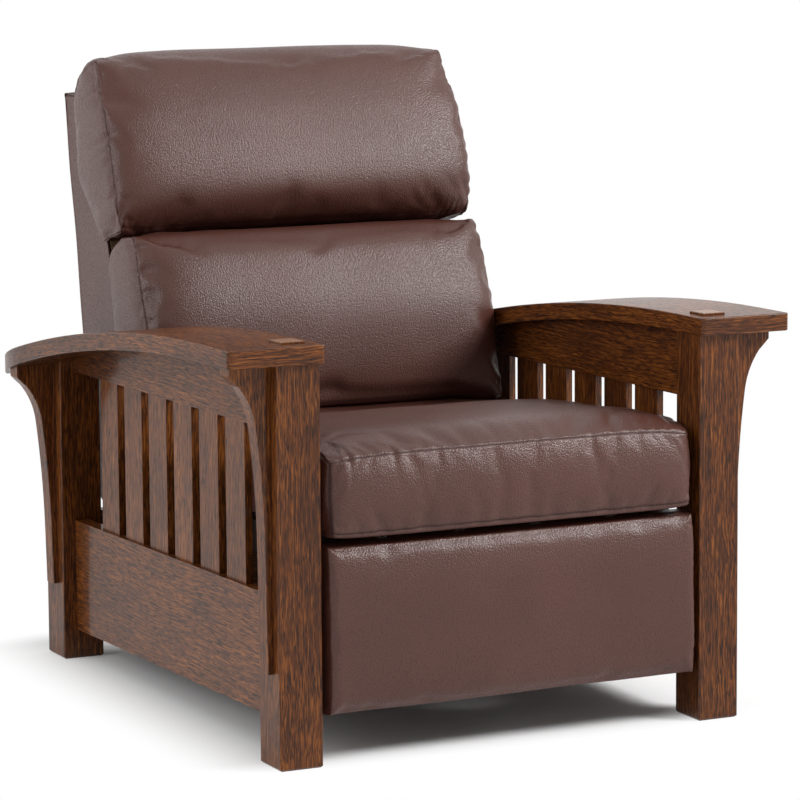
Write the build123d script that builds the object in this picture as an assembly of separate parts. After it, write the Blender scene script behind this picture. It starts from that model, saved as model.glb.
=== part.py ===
from build123d import *
import math
import os

# Mission reclining armchair, in millimetres. X runs across the chair, the front faces -Y and
# Z is up. Left and right are as seen from the front. The timber frame is drawn square, with
# its rails level; the rear legs are cut shorter, and place() leans the whole chair back onto
# its four feet.

# Timber frame
frame_width = 712.0
frame_depth = 820.0
post_width = 63.5
post_depth = 63.5
post_round = 2.0
foot_chamfer = 3.0
rear_leg_cut = 16.5

# Arms: flat over the front post, then bent down on one long arc
arm_top = 570.0
arm_thickness = 25.0
arm_inner_overhang = 3.5
arm_width = 141.5
arm_front_overhang = 12.0
arm_rear_overhang = 42.0
arm_drop = 106.0
tail_length = 132.0
tail_radius = 300.0
arm_corner_round = 6.0
arm_edge_round = 2.0

# Tenon of the front post, which shows on top of the arm
tenon_width = 34.5
tenon_depth = 37.0
tenon_setback = 33.5
tenon_proud = 3.4
tenon_chamfer = 1.2
stub_tenon_height = 14.0
joint_fit = 0.2

# Side rails, slats and corbels
rail_thickness = 22.0
rail_setback = 21.0
top_rail_bottom = 450.0
bottom_rail_bottom = 60.0
bottom_rail_top = 225.5
rear_rail_top = 234.0
rail_tenon_length = 20.0
rail_tenon_thickness = 10.0
rail_tenon_margin = 14.0
slat_count = 6
slat_width = 62.8
slat_front_gap = 97.0
slat_rear_gap = 93.0
slat_thickness = 11.0
slat_tenon = 8.0
slat_round = 0.8
corbel_thickness = 27.0
corbel_bottom = 129.0
corbel_foot_reach = 8.0
corbel_waist_reach = 10.0
corbel_bend_reach = 22.0
corbel_crook_reach = 45.5
corbel_nib_reach = 60.0
corbel_nib_height = 14.0
corbel_nib_slope = 7.0
corbel_crook_drop = 28.0
corbel_bend_drop = 83.0
corbel_waist_drop = 245.0
corbel_round = 1.0
cross_rail_setback = 310.0
cross_rail_bottom = 70.0
cross_rail_top = 160.0

# Seat carriage
seat_rail_thickness = 22.0
seat_side_gap = 15.0
seat_rail_bottom = 252.0
seat_rail_top = 296.0
seat_front_setback = 48.0
seat_rear_setback = 160.0
seat_end_rail_thickness = 20.0
seat_front_rail_bottom = 256.0
spring_wire = 3.8
spring_count = 4
spring_pitch_across = 118.0
spring_swing = 17.0
spring_bend = 11.0
spring_bend_radius = 7.7
spring_waves = 12
clip_gauge = 1.0
clip_width = 14.0
clip_length = 16.0
deck_thickness = 2.8
soft_clearance = 0.3

# Seat slides
plate_gauge = 4.0
track_gauge = 3.0
track_height = 30.0
track_depth = 25.0
track_bottom = 183.0
track_front_setback = 75.0
track_rear_setback = 110.0
slide_clearance = 0.3
hanger_length = 60.0
front_hanger_setback = 140.0
rear_hanger_setback = 260.0
hanger_top = 290.0

# Footrest linkage, in the side view
link_pivot_setback = 110.0
link_pivot_z = 240.0
panel_pivot_setback = 60.0
panel_pivot_z = 165.0
first_link_length = 180.0
second_link_length = 200.0
link_width = 24.0
link_gauge = 5.0
link_gap = 0.5
pin_radius = 5.0
pin_fit = 0.08
pin_head_radius = 8.0
pin_head_height = 2.5
tube_radius = 10.0
tube_wall = 1.5
link_plate_half_length = 42.0

# Footrest panel
panel_side_gap = 7.0
panel_bottom = 72.0
panel_top = 297.0
panel_proud = 6.0
panel_crown = 4.5
panel_back_setback = 42.0
panel_edge_draw = 2.0
panel_crown_inset = 6.0
board_side_margin = 19.0
board_margin = 12.0
board_thickness = 12.0
bracket_flange_width = 34.0
bracket_height = 90.0
bolt_radius = 4.0
bolt_head_radius = 7.0
bolt_head_height = 4.0
bolt_inset = 15.0
screw_radius = 2.5
screw_head_radius = 5.0
screw_head_height = 2.0
screw_bite = 10.0

# Seat cushion
cushion_side_gap = 10.0
cushion_front_setback = 5.0
cushion_front_bulge = 7.0
cushion_rear_setback = 138.0
cushion_seam_top = 416.0
cushion_fall = 36.0
cushion_crown = 16.0
cushion_draw_in = 2.0
cushion_side_bulge = 2.0
cushion_cap_inset = 9.0

# Back: side panels, rails and cover
back_pivot_setback = 75.0
back_pivot_z = 262.0
back_bottom = 265.0
back_skirt_drop = 25.0
back_skirt_setback = 53.0
back_top = 853.0
back_rear_top_overhang = 85.0
back_rear_bottom_setback = 2.4
back_front_bottom_setback = 125.0
back_front_low_setback = 98.0
back_front_low_rise = 255.0
back_front_step_setback = 72.0
back_front_step_drop = 213.0
back_front_high_overhang = 18.0
back_front_high_drop = 111.0
back_front_top_overhang = 32.0
back_panel_thickness = 18.0
back_rail_depth = 22.0
back_rail_height = 60.0
cover_thickness = 4.0
web_width = 50.0
web_thickness = 2.0
web_pitch = 72.0
web_count = 3
back_bracket_reach = 130.0
back_bracket_width = 40.0

# Back pillows. Their caps rise above the top seam by a height and its shares
lumbar_side_gap = 8.0
lumbar_crown = 28.0
lumbar_front_setback = 242.0
lumbar_depth = 126.0
lumbar_lift = 2.5
lumbar_top_drop = 203.0
head_side_gap = 6.0
head_side_swell = 10.0
head_crown = 24.0
head_front_setback = 140.0
head_depth = 100.0
head_bottom_drop = 175.0
head_top_rise = 36.0
pillow_side_bulge = 4.0
crown_power = 5.0
pillow_cap_height = 20.0
pillow_cap_inset = 20.0
lumbar_cap_front_share = 0.7
lumbar_cap_rear_share = 1.0
head_cap_front_share = 1.25
head_cap_rear_share = 1.2
lumbar_side_swell = 1.0
pillow_gap = 0.6
step_gap = 1.5

# Places worked out from the sizes above
post_inner = frame_width / 2 - post_width
front_face = -frame_depth / 2
rear_face = frame_depth / 2
arm_inner = post_inner - arm_inner_overhang
side_span = frame_depth / 2 - post_depth
arm_under = arm_top - arm_thickness
arm_front = front_face - arm_front_overhang
arm_rear = rear_face + arm_rear_overhang
bow_start = front_face + post_depth
bow_run = arm_rear - bow_start
bow_radius = (bow_run ** 2 + arm_drop ** 2) / (2 * arm_drop)
rail_outer = frame_width / 2 - rail_setback
rail_inner = rail_outer - rail_thickness
slat_plane = (rail_outer + rail_inner) / 2
slat_pitch = (2 * side_span - slat_front_gap - slat_rear_gap - slat_width) / (slat_count - 1)
first_slat_y = slat_front_gap + slat_width / 2 - side_span
cross_rail_front = front_face + cross_rail_setback
track_inner = rail_inner - track_depth
track_front = front_face + track_front_setback
track_rear = rear_face - track_rear_setback
foot_span = frame_depth - post_depth
foot_front = front_face + post_depth / 2
lean = math.degrees(math.atan2(rear_leg_cut, foot_span))
seat_rail_reach = track_inner - seat_side_gap
seat_rail_inner = seat_rail_reach - seat_rail_thickness
seat_front = front_face + seat_front_setback
seat_rear = rear_face - seat_rear_setback
front_hanger_start = front_face + front_hanger_setback
rear_hanger_start = rear_face - rear_hanger_setback
link_pivot_y = front_face + link_pivot_setback
panel_pivot_y = front_face + panel_pivot_setback
panel_half_width = arm_inner - panel_side_gap
panel_front = front_face - panel_proud
panel_back = front_face + panel_back_setback
board_half_width = panel_half_width - board_side_margin
plate_inner = seat_rail_inner - plate_gauge
first_link_outer = plate_inner - link_gap
second_link_outer = first_link_outer - link_gauge - link_gap
bracket_outer = second_link_outer - link_gauge - link_gap
back_bracket_inner = seat_rail_inner + link_gap
back_panel_inner = back_bracket_inner + plate_gauge
back_panel_outer = back_panel_inner + back_panel_thickness
cover_inner = back_panel_outer + soft_clearance
cover_outer = cover_inner + cover_thickness
wire_radius = spring_wire / 2
spring_height = seat_rail_top + clip_gauge + wire_radius
clip_top = spring_height + wire_radius + clip_gauge
deck_bottom = clip_top + soft_clearance
deck_top = deck_bottom + deck_thickness
cushion_bottom = deck_top + soft_clearance
cushion_half_width = arm_inner - cushion_side_gap
cushion_front_seam = front_face + cushion_front_setback
cushion_rear = rear_face - cushion_rear_setback
cushion_length = cushion_rear - cushion_front_seam
back_pivot_y = rear_face - back_pivot_setback
back_rear_at_top = rear_face + back_rear_top_overhang
back_rear_at_bottom = rear_face - back_rear_bottom_setback
back_front_at_bottom = rear_face - back_front_bottom_setback
back_skirt_y = rear_face - back_skirt_setback
back_skirt_z = back_bottom - back_skirt_drop
back_front_low_y = rear_face - back_front_low_setback
back_front_low_z = back_bottom + back_front_low_rise
back_front_step_y = rear_face - back_front_step_setback
back_front_step_z = back_top - back_front_step_drop
back_front_high_y = rear_face + back_front_high_overhang
back_front_high_z = back_top - back_front_high_drop
back_front_at_top = rear_face + back_front_top_overhang
lumbar_half_width = arm_inner - lumbar_side_gap
lumbar_front = rear_face - lumbar_front_setback
lumbar_top = back_top - lumbar_top_drop
head_half_width = arm_inner - head_side_gap
head_front = rear_face - head_front_setback
head_bottom = back_top - head_bottom_drop
head_top = back_top + head_top_rise
overrun = arm_thickness

# An edge is looked at halfway along, and runs along an axis where its direction has more than
# this share of it
halfway_share = 0.5
level_share = 0.5


def block(x0, x1, y0, y1, z0, z1):
    middle = Pos((x0 + x1) / 2, (y0 + y1) / 2, (z0 + z1) / 2)
    return middle * Box(x1 - x0, y1 - y0, z1 - z0)


def across(sketch, x0, x1):
    # A flat shape in the side view (Y, Z), given its thickness across the chair.
    return Pos(x0, 0, 0) * extrude(Plane.YZ * sketch, x1 - x0)


def outline(*points):
    return make_face(Polyline(*points, close=True))


def rod(y, z, radius, x0, x1):
    return Pos((x0 + x1) / 2, y, z) * Rot(0, 90, 0) * Cylinder(radius, x1 - x0)


def rod_along_y(x, z, radius, y0, y1):
    return Pos(x, (y0 + y1) / 2, z) * Rot(90, 0, 0) * Cylinder(radius, y1 - y0)


def flipped(shape):
    return mirror(shape, about=Plane.YZ)


def group(*shapes):
    # Like pieces that share a node, as separate solids.
    solids = []
    for shape in shapes:
        solids += shape.solids()
    return solids


def both(*shapes):
    return group(*shapes) + group(*[flipped(shape) for shape in shapes])


def floor_height(y):
    return (y - foot_front) * rear_leg_cut / foot_span


# Arms

def bow_point(y, depth):
    # A point below the arm's top face by depth, on the arc that shares the bow's centre.
    radius = bow_radius - depth
    run = y - bow_start
    return (y, arm_top - bow_radius + math.sqrt(radius ** 2 - run ** 2))


def bow_outline(depth_top, depth_bottom, y_front, y_rear):
    middle = (bow_start + y_rear) / 2
    top_front = (y_front, arm_top - depth_top)
    top_bend = (bow_start, arm_top - depth_top)
    low_front = (y_front, arm_top - depth_bottom)
    low_bend = (bow_start, arm_top - depth_bottom)
    top_rear = bow_point(y_rear, depth_top)
    low_rear = bow_point(y_rear, depth_bottom)
    edges = [
        Line(top_front, top_bend),
        ThreePointArc(top_bend, bow_point(middle, depth_top), top_rear),
        Line(top_rear, low_rear),
        ThreePointArc(low_rear, bow_point(middle, depth_bottom), low_bend),
        Line(low_bend, low_front),
        Line(low_front, top_front),
    ]
    return make_face(Wire(edges))


over_arm = across(bow_outline(-frame_depth / 2, arm_thickness, arm_front - overrun, arm_rear + overrun),
                  -frame_width, frame_width)


def arm_plan():
    # Seen from above: the outer edge runs straight, then curves in towards the tail.
    x_in = arm_inner
    x_out = x_in + arm_width
    y_curve = arm_rear - tail_length
    half = tail_length / 2
    tail_in = tail_radius - math.sqrt(tail_radius ** 2 - tail_length ** 2)
    half_in = tail_radius - math.sqrt(tail_radius ** 2 - half ** 2)
    edges = [
        Line((x_in, arm_front), (x_out, arm_front)),
        Line((x_out, arm_front), (x_out, y_curve)),
        ThreePointArc((x_out, y_curve), (x_out - half_in, y_curve + half), (x_out - tail_in, arm_rear)),
        Line((x_out - tail_in, arm_rear), (x_in, arm_rear)),
        Line((x_in, arm_rear), (x_in, arm_front)),
    ]
    return make_face(Wire(edges))


def arm():
    slab = across(bow_outline(0, arm_thickness, arm_front, arm_rear), arm_inner, arm_inner + arm_width)
    plan = extrude(Pos(0, 0, arm_under - tail_length) * arm_plan(), arm_top)
    board = slab & plan
    upright = board.edges().filter_by(Axis.Z)
    board = fillet(upright, arm_corner_round)
    rim = [e for e in board.edges() if e.length > arm_corner_round * 2
           and abs(e.tangent_at(halfway_share).Z) < level_share]
    return fillet(rim, arm_edge_round)


def post_tenon(fit, height_top, y_face, z_bottom):
    y_mid = y_face + tenon_setback
    x_mid = frame_width / 2 - post_width / 2
    half_x = tenon_width / 2 + fit
    half_y = tenon_depth / 2 + fit
    return block(x_mid - half_x, x_mid + half_x, y_mid - half_y, y_mid + half_y, z_bottom, height_top)


def rear_tenon(fit):
    y_mid = rear_face - post_depth / 2
    x_mid = frame_width / 2 - post_width / 2
    half_x = tenon_width / 2 + fit
    half_y = tenon_depth / 2 + fit
    z_low = bow_point(rear_face, arm_thickness)[1] - stub_tenon_height
    z_high = bow_point(rear_face, arm_thickness)[1] + stub_tenon_height
    return block(x_mid - half_x, x_mid + half_x, y_mid - half_y, y_mid + half_y, z_low, z_high + fit)


def front_tenon(fit):
    proud = tenon_proud + fit * tenon_proud / joint_fit
    return post_tenon(fit, arm_top + proud, front_face, arm_under - stub_tenon_height)


arm_right = arm() - front_tenon(joint_fit) - rear_tenon(joint_fit)


# Rails and their tenons

def rail_tenon(fit, z_low, z_high, y_shoulder, outward):
    x_half = rail_tenon_thickness / 2 + fit
    y_tip = y_shoulder + outward * (rail_tenon_length + fit)
    y_root = y_shoulder - outward * fit
    return block(slat_plane - x_half, slat_plane + x_half, min(y_root, y_tip), max(y_root, y_tip),
                 z_low + rail_tenon_margin - fit, z_high - rail_tenon_margin + fit)


def rear_rail_tenon(fit):
    y_mid = rear_face - post_depth / 2
    y_half = rail_tenon_thickness / 2 + fit
    return block(post_inner - fit, post_inner + rail_tenon_length + fit, y_mid - y_half, y_mid + y_half,
                 bottom_rail_bottom + rail_tenon_margin - fit, rear_rail_top - rail_tenon_margin + fit)


def cross_rail_tenon(fit):
    y_mid = cross_rail_front + rail_thickness / 2
    y_half = rail_tenon_thickness / 2 + fit
    tip = rail_inner + rail_tenon_thickness + fit
    return block(rail_inner - fit, tip, y_mid - y_half, y_mid + y_half,
                 cross_rail_bottom + rail_tenon_margin - fit, cross_rail_top - rail_tenon_margin + fit)


def side_tenons(fit):
    shapes = []
    for outward in (-1, 1):
        shoulder = outward * side_span
        shapes.append(rail_tenon(fit, bottom_rail_bottom, bottom_rail_top, shoulder, outward))
    shapes.append(rail_tenon(fit, top_rail_bottom, arm_under, -side_span, -1))
    return shapes


def slat_y(index):
    return first_slat_y + index * slat_pitch


def slat(index, fit):
    y_half = slat_width / 2 + fit
    x_half = slat_thickness / 2 + fit
    middle = slat_y(index)
    board = block(slat_plane - x_half, slat_plane + x_half, middle - y_half, middle + y_half,
                  bottom_rail_top - slat_tenon - fit, top_rail_bottom + slat_tenon + fit)
    if fit:
        return board
    return fillet(board.edges().filter_by(Axis.Z), slat_round)


def side_rails():
    top = block(rail_inner, rail_outer, -side_span, side_span, top_rail_bottom, arm_top) - over_arm
    bottom = block(rail_inner, rail_outer, -side_span, side_span, bottom_rail_bottom, bottom_rail_top)
    for index in range(slat_count):
        socket = slat(index, joint_fit)
        top -= socket
        bottom -= socket
    tenons = side_tenons(0)
    bottom = bottom + tenons[0] + tenons[1] - cross_rail_tenon(joint_fit)
    top = top + tenons[2]
    return top, bottom


top_rail_right, bottom_rail_right = side_rails()


# Posts and corbels

def post_blank(y0, y1, z_top):
    side = outline((y0, floor_height(y0)), (y1, floor_height(y1)), (y1, z_top), (y0, z_top))
    blank = across(side, post_inner, frame_width / 2)
    foot = blank.faces().sort_by(Axis.Z)[0]
    blank = chamfer(foot.edges(), foot_chamfer)
    return fillet(blank.edges().filter_by(Axis.Z), post_round)


def front_post():
    post = post_blank(front_face, front_face + post_depth, arm_under)
    tenon = front_tenon(0)
    tenon = chamfer(tenon.faces().sort_by(Axis.Z)[-1].edges(), tenon_chamfer)
    post = post + tenon
    for socket in side_tenons(joint_fit):
        post -= socket
    return post


def rear_post():
    post = post_blank(rear_face - post_depth, rear_face, arm_top) - over_arm
    post = post + rear_tenon(0)
    for socket in side_tenons(joint_fit):
        post -= socket
    return post - rear_rail_tenon(joint_fit)


def corbel(y_mid, z_top):
    # Seen from the front: a long taper, a bend that tightens upwards, and a square nib.
    x0 = frame_width / 2
    foot = (x0 + corbel_foot_reach, corbel_bottom)
    waist = (x0 + corbel_waist_reach, z_top - corbel_waist_drop)
    bend = (x0 + corbel_bend_reach, z_top - corbel_bend_drop)
    crook = (x0 + corbel_crook_reach, z_top - corbel_crook_drop)
    nib_low = (x0 + corbel_nib_reach, z_top - corbel_nib_height)
    nib_in = (x0 + corbel_nib_reach - corbel_nib_slope, z_top - corbel_nib_height - corbel_nib_slope)
    crown = z_top + post_depth
    taper = (waist[0] - foot[0], waist[1] - foot[1])
    first_bend = TangentArc(waist, bend, tangent=taper)
    second_bend = TangentArc(bend, crook, tangent=first_bend % 1)
    edges = [
        Line((x0, corbel_bottom), foot),
        Line(foot, waist),
        first_bend,
        second_bend,
        Line(crook, nib_in),
        Line(nib_in, nib_low),
        Line(nib_low, (x0 + corbel_nib_reach, crown)),
        Line((x0 + corbel_nib_reach, crown), (x0, crown)),
        Line((x0, crown), (x0, corbel_bottom)),
    ]
    face = Plane.XZ * make_face(Wire(edges))
    y0 = y_mid - corbel_thickness / 2
    blank = Pos(0, y0 + corbel_thickness, 0) * extrude(face, corbel_thickness)
    long_edges = [e for e in blank.edges() if e.center().X > x0 + corbel_round
                  and abs(e.tangent_at(halfway_share).Y) < level_share and e.center().Z < z_top]
    return chamfer(long_edges, corbel_round) - over_arm


rear_post_middle = rear_face - post_depth / 2
corbel_front_right = corbel(front_face + post_depth / 2, arm_under)
corbel_rear_right = corbel(rear_post_middle, bow_point(rear_post_middle, arm_thickness)[1])

rear_rail_y = rear_post_middle - rail_thickness / 2
rear_rail = block(-post_inner, post_inner, rear_rail_y, rear_rail_y + rail_thickness,
                  bottom_rail_bottom, rear_rail_top)
rear_rail = rear_rail + rear_rail_tenon(0) + flipped(rear_rail_tenon(0))
cross_rail = block(-rail_inner, rail_inner, cross_rail_front, cross_rail_front + rail_thickness,
                   cross_rail_bottom, cross_rail_top)
cross_rail = cross_rail + cross_rail_tenon(0) + flipped(cross_rail_tenon(0))

# Seat slides: channels on the side rails, nylon blocks on hangers under the seat

track_top = track_bottom + track_height
track = block(track_inner, rail_inner, track_front, track_rear, track_bottom, track_top)
track -= block(track_inner, rail_inner - track_gauge, track_front, track_rear,
               track_bottom + track_gauge, track_top - track_gauge)
block_bottom = track_bottom + track_gauge + slide_clearance
block_top = track_top - track_gauge - slide_clearance
hanger_outer = seat_rail_reach + plate_gauge
hangers = []
slide_blocks = []
for start in (front_hanger_start, rear_hanger_start):
    end = start + hanger_length
    hangers.append(block(seat_rail_reach, hanger_outer, start, end, block_bottom, hanger_top))
    slide_blocks.append(block(hanger_outer, rail_inner - track_gauge - slide_clearance,
                              start, end, block_bottom, block_top))

# Seat frame

seat_side_rail = block(seat_rail_inner, seat_rail_reach, seat_front, seat_rear,
                       seat_rail_bottom, seat_rail_top)
seat_front_rail = block(-seat_rail_inner, seat_rail_inner, seat_front, seat_front + seat_end_rail_thickness,
                        seat_front_rail_bottom, seat_rail_top)
seat_rear_rail = block(-plate_inner, plate_inner, seat_rear - seat_end_rail_thickness, seat_rear,
                       seat_rail_bottom, seat_rail_top)


def spring_route(x):
    # One zigzag wire: straight legs across, joined by half turns, with a straight tail each end.
    y_start = seat_front + seat_end_rail_thickness / 2
    y_end = seat_rear - seat_end_rail_thickness / 2
    run = y_end - y_start
    pitch = run / (spring_waves + 1)
    left = x - spring_swing
    right = x + spring_swing
    points = [(x, y_start, spring_height), (x, y_start + pitch / 2, spring_height)]
    for wave in range(spring_waves):
        y = y_start + pitch / 2 + wave * pitch
        edge = right if wave % 2 == 0 else left
        points.append((edge, y + spring_bend, spring_height))
        points.append((edge, y + pitch - spring_bend, spring_height))
    points += [(x, y_end - pitch / 2, spring_height), (x, y_end, spring_height)]
    return FilletPolyline(*points, radius=spring_bend_radius)


def spring(x):
    route = spring_route(x)
    start = Plane(origin=route @ 0, z_dir=route % 0)
    return sweep(start * Circle(wire_radius), path=route)


spring_places = [(i - (spring_count - 1) / 2) * spring_pitch_across for i in range(spring_count)]
springs = [spring(x) for x in spring_places]
clips = []
for x in spring_places:
    for y_mid in (seat_front + seat_end_rail_thickness / 2, seat_rear - seat_end_rail_thickness / 2):
        clip = block(x - clip_width / 2, x + clip_width / 2,
                     y_mid - clip_length / 2, y_mid + clip_length / 2, seat_rail_top, clip_top)
        wire_hole = rod_along_y(x, spring_height, wire_radius, y_mid - clip_length, y_mid + clip_length)
        clips.append(clip - wire_hole)
seat_deck = block(-seat_rail_reach, seat_rail_reach, seat_front, seat_rear, deck_bottom, deck_top)


# Seat cushion: a box cushion, crowned on top, with its sides drawn in between the corners

# How far out from the middle the crown's line is fixed, as shares of the half width
crown_fix_shares = (0.0, 0.5, 0.8, 0.93, 1.0)


def crown_line(half_width, seam, crown):
    # A line that rises steeply from each seam and is nearly flat between them.
    right = []
    for share in crown_fix_shares:
        rise = crown * math.sqrt(1 - share ** crown_power)
        right.append((half_width * share, seam + rise))
    left = [(-x, z) for x, z in right[1:]]
    return Spline(*right[::-1], *left)


def box_section(plane, half_width, low, high, crown, side_bulge):
    middle = (low + high) / 2
    edges = [
        Line((-half_width, low), (half_width, low)),
        ThreePointArc((half_width, low), (half_width + side_bulge, middle), (half_width, high)),
        crown_line(half_width, high, crown),
        ThreePointArc((-half_width, high), (-half_width - side_bulge, middle), (-half_width, low)),
    ]
    return plane * make_face(Wire(edges))


def facing_front(y):
    return Plane(origin=(0, y, 0), x_dir=(1, 0, 0), z_dir=(0, -1, 0))


cushion_length_shares = (0.0, 0.16, 0.5, 0.84, 1.0)
cushion_fall_shares = (0.0, -0.12, 0.2, 0.75, 1.0)
cushion_crown_shares = (0.4, 1.0, 1.0, 0.3, 0.1)
cushion_width_shares = (0.0, 0.6, 1.0, 0.6, 0.0)


def cushion_section(length_share, fall_share, crown_share, draw_share):
    y = cushion_front_seam + length_share * cushion_length
    high = cushion_seam_top - fall_share * cushion_fall
    return box_section(facing_front(y), cushion_half_width - draw_share * cushion_draw_in,
                       cushion_bottom, high, crown_share * cushion_crown, cushion_side_bulge)


cushion_sections = [cushion_section(*shares) for shares in
                    zip(cushion_length_shares, cushion_fall_shares, cushion_crown_shares,
                        cushion_width_shares)]
cushion_cap = box_section(facing_front(cushion_front_seam - cushion_front_bulge),
                          cushion_half_width - cushion_cap_inset, cushion_bottom + cushion_cap_inset,
                          cushion_seam_top - cushion_cap_inset, cushion_crown_shares[0] * cushion_crown,
                          cushion_side_bulge)
seat_cushion = loft(cushion_sections) + loft([cushion_sections[0], cushion_cap], ruled=True)

# Footrest linkage: a link on the seat, a second link, and the panel's bracket


def middle_pivot():
    # The joint between the links lies rearward of both their ends when the panel is stowed.
    dy = panel_pivot_y - link_pivot_y
    dz = panel_pivot_z - link_pivot_z
    span = math.hypot(dy, dz)
    along = (first_link_length ** 2 - second_link_length ** 2 + span ** 2) / (2 * span)
    aside = math.sqrt(first_link_length ** 2 - along ** 2)
    uy = dy / span
    uz = dz / span
    return (link_pivot_y + along * uy - aside * uz, link_pivot_z + along * uz + aside * uy)


middle_y, middle_z = middle_pivot()


def strip(start, end, width):
    length = math.hypot(end[0] - start[0], end[1] - start[1])
    angle = math.degrees(math.atan2(end[1] - start[1], end[0] - start[0]))
    middle = Pos((start[0] + end[0]) / 2, (start[1] + end[1]) / 2)
    return middle * Rot(0, 0, angle) * SlotCenterToCenter(length, width)


def link(start, end, x_outer):
    bar = across(strip(start, end, link_width), x_outer - link_gauge, x_outer)
    for y, z in (start, end):
        bar -= rod(y, z, pin_radius + pin_fit, x_outer - 2 * link_gauge, x_outer + link_gauge)
    return bar


def pin(y, z, x_inner, x_outer, inner_head, outer_head):
    body = rod(y, z, pin_radius, x_inner, x_outer)
    if inner_head:
        body += rod(y, z, pin_head_radius, x_inner - pin_head_height, x_inner)
    if outer_head:
        body += rod(y, z, pin_head_radius, x_outer, x_outer + pin_head_height)
    return body


link_pivot = (link_pivot_y, link_pivot_z)
panel_pivot = (panel_pivot_y, panel_pivot_z)
mid_pivot = (middle_y, middle_z)
tube_y = (link_pivot_y + middle_y) / 2
tube_z = (link_pivot_z + middle_z) / 2
first_link_inner = first_link_outer - link_gauge
second_link_inner = second_link_outer - link_gauge
bracket_inner = bracket_outer - link_gauge
first_link = link(link_pivot, mid_pivot, first_link_outer)
second_link = link(mid_pivot, panel_pivot, second_link_outer)
torque_tube = rod(tube_y, tube_z, tube_radius, -first_link_inner, first_link_inner)
torque_tube -= rod(tube_y, tube_z, tube_radius - tube_wall, -frame_width, frame_width)
link_pin = pin(link_pivot_y, link_pivot_z, first_link_inner, seat_rail_inner, True, False)
middle_pin = pin(middle_y, middle_z, second_link_inner, first_link_outer, True, True)
panel_pin = pin(panel_pivot_y, panel_pivot_z, bracket_inner, second_link_outer, True, True)

# Pivot plates on the inner faces of the seat's side rails

plate_low = link_pivot_z - link_width / 2
link_plate = across(outline((link_pivot_y - link_plate_half_length, seat_rail_top),
                            (link_pivot_y - link_plate_half_length, seat_rail_bottom),
                            (link_pivot_y - link_width / 2, plate_low),
                            (link_pivot_y + link_width / 2, plate_low),
                            (link_pivot_y + 2 * link_plate_half_length, seat_rail_bottom),
                            (link_pivot_y + 2 * link_plate_half_length, seat_rail_top)),
                    plate_inner, seat_rail_inner)
link_plate -= rod(link_pivot_y, link_pivot_z, pin_radius, 0, frame_width)
back_plate_start = seat_rear - hanger_length - back_bracket_width
back_plate = across(outline((back_plate_start, seat_rail_top),
                            (back_plate_start, seat_rail_bottom),
                            (seat_rear, seat_rail_bottom - pin_radius),
                            (back_pivot_y + link_width / 2, back_pivot_z - link_width / 2),
                            (back_pivot_y + link_width / 2, back_pivot_z + link_width / 2),
                            (seat_rear, seat_rail_top)),
                    plate_inner, seat_rail_inner)
back_plate -= rod(back_pivot_y, back_pivot_z, pin_radius, 0, frame_width)
back_pin = pin(back_pivot_y, back_pivot_z, plate_inner, back_panel_inner, True, False)

# Bolts through the seat's side rails, for the plates and the hangers


def bolt(y, z, x_head, x_tip):
    # The head stands off x_head, away from the tip.
    toward = 1 if x_head > x_tip else -1
    shank = rod(y, z, bolt_radius, min(x_head, x_tip), max(x_head, x_tip))
    tip = x_head + toward * bolt_head_height
    return shank + rod(y, z, bolt_head_radius, min(x_head, tip), max(x_head, tip))


bolt_z = (seat_rail_bottom + seat_rail_top) / 2
bolts = []
for start in (front_hanger_start, rear_hanger_start):
    for y in (start + bolt_inset, start + hanger_length - bolt_inset):
        bolts.append(bolt(y, bolt_z, hanger_outer, seat_rail_inner + screw_bite))
for y in (link_pivot_y - link_plate_half_length + bolt_inset,
          link_pivot_y + 2 * link_plate_half_length - bolt_inset,
          back_plate_start + bolt_inset, seat_rear - seat_end_rail_thickness - bolt_inset):
    bolts.append(bolt(y, bolt_z, plate_inner, seat_rail_inner + screw_bite - pin_radius))
for cutter in bolts:
    seat_side_rail -= cutter
    link_plate -= cutter
    back_plate -= cutter
    hangers = [hanger - cutter for hanger in hangers]

# Footrest panel: a board, its brackets, and a padded cover in front


def panel_section(y, inset):
    return box_section(facing_front(y), panel_half_width - inset, panel_bottom + inset, panel_top - inset,
                       panel_edge_draw, panel_edge_draw)


panel_seam = panel_front + panel_crown
panel_edge = panel_section(panel_seam, 0)
footrest_pad = loft([panel_section(panel_back, panel_edge_draw), panel_edge], ruled=True)
footrest_pad += loft([panel_edge, panel_section(panel_front, panel_crown_inset)], ruled=True)
board_front = panel_back - board_thickness
footrest_board = block(-board_half_width, board_half_width, board_front, panel_back,
                       panel_bottom + board_margin, panel_top - board_margin)
footrest_pad -= block(-board_half_width - soft_clearance, board_half_width + soft_clearance,
                      board_front - soft_clearance, panel_back + overrun,
                      panel_bottom + board_margin - soft_clearance,
                      panel_top - board_margin + soft_clearance)
flange_low = panel_pivot_z - bracket_height / 2
flange_high = panel_pivot_z + bracket_height / 2
flange_inner = bracket_outer - bracket_flange_width
panel_bracket = block(flange_inner, bracket_outer, panel_back, panel_back + plate_gauge,
                      flange_low, flange_high)
panel_bracket += across(outline((panel_back, flange_low), (panel_back, flange_high),
                                (panel_pivot_y, panel_pivot_z + link_width / 2),
                                (panel_pivot_y + link_width / 2, panel_pivot_z),
                                (panel_pivot_y, panel_pivot_z - link_width / 2)),
                        bracket_inner, bracket_outer)
panel_bracket -= rod(panel_pivot_y, panel_pivot_z, pin_radius, 0, frame_width)
footrest_screws = []
for z in (flange_low + bolt_inset, flange_high - bolt_inset):
    x = (flange_inner + bracket_inner) / 2
    face = panel_back + plate_gauge
    screw = rod_along_y(x, z, screw_radius, face - plate_gauge - screw_bite, face)
    screw += rod_along_y(x, z, screw_head_radius, face, face + screw_head_height)
    footrest_screws.append(screw)
for cutter in footrest_screws:
    footrest_board = footrest_board - cutter - flipped(cutter)
    panel_bracket -= cutter

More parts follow.
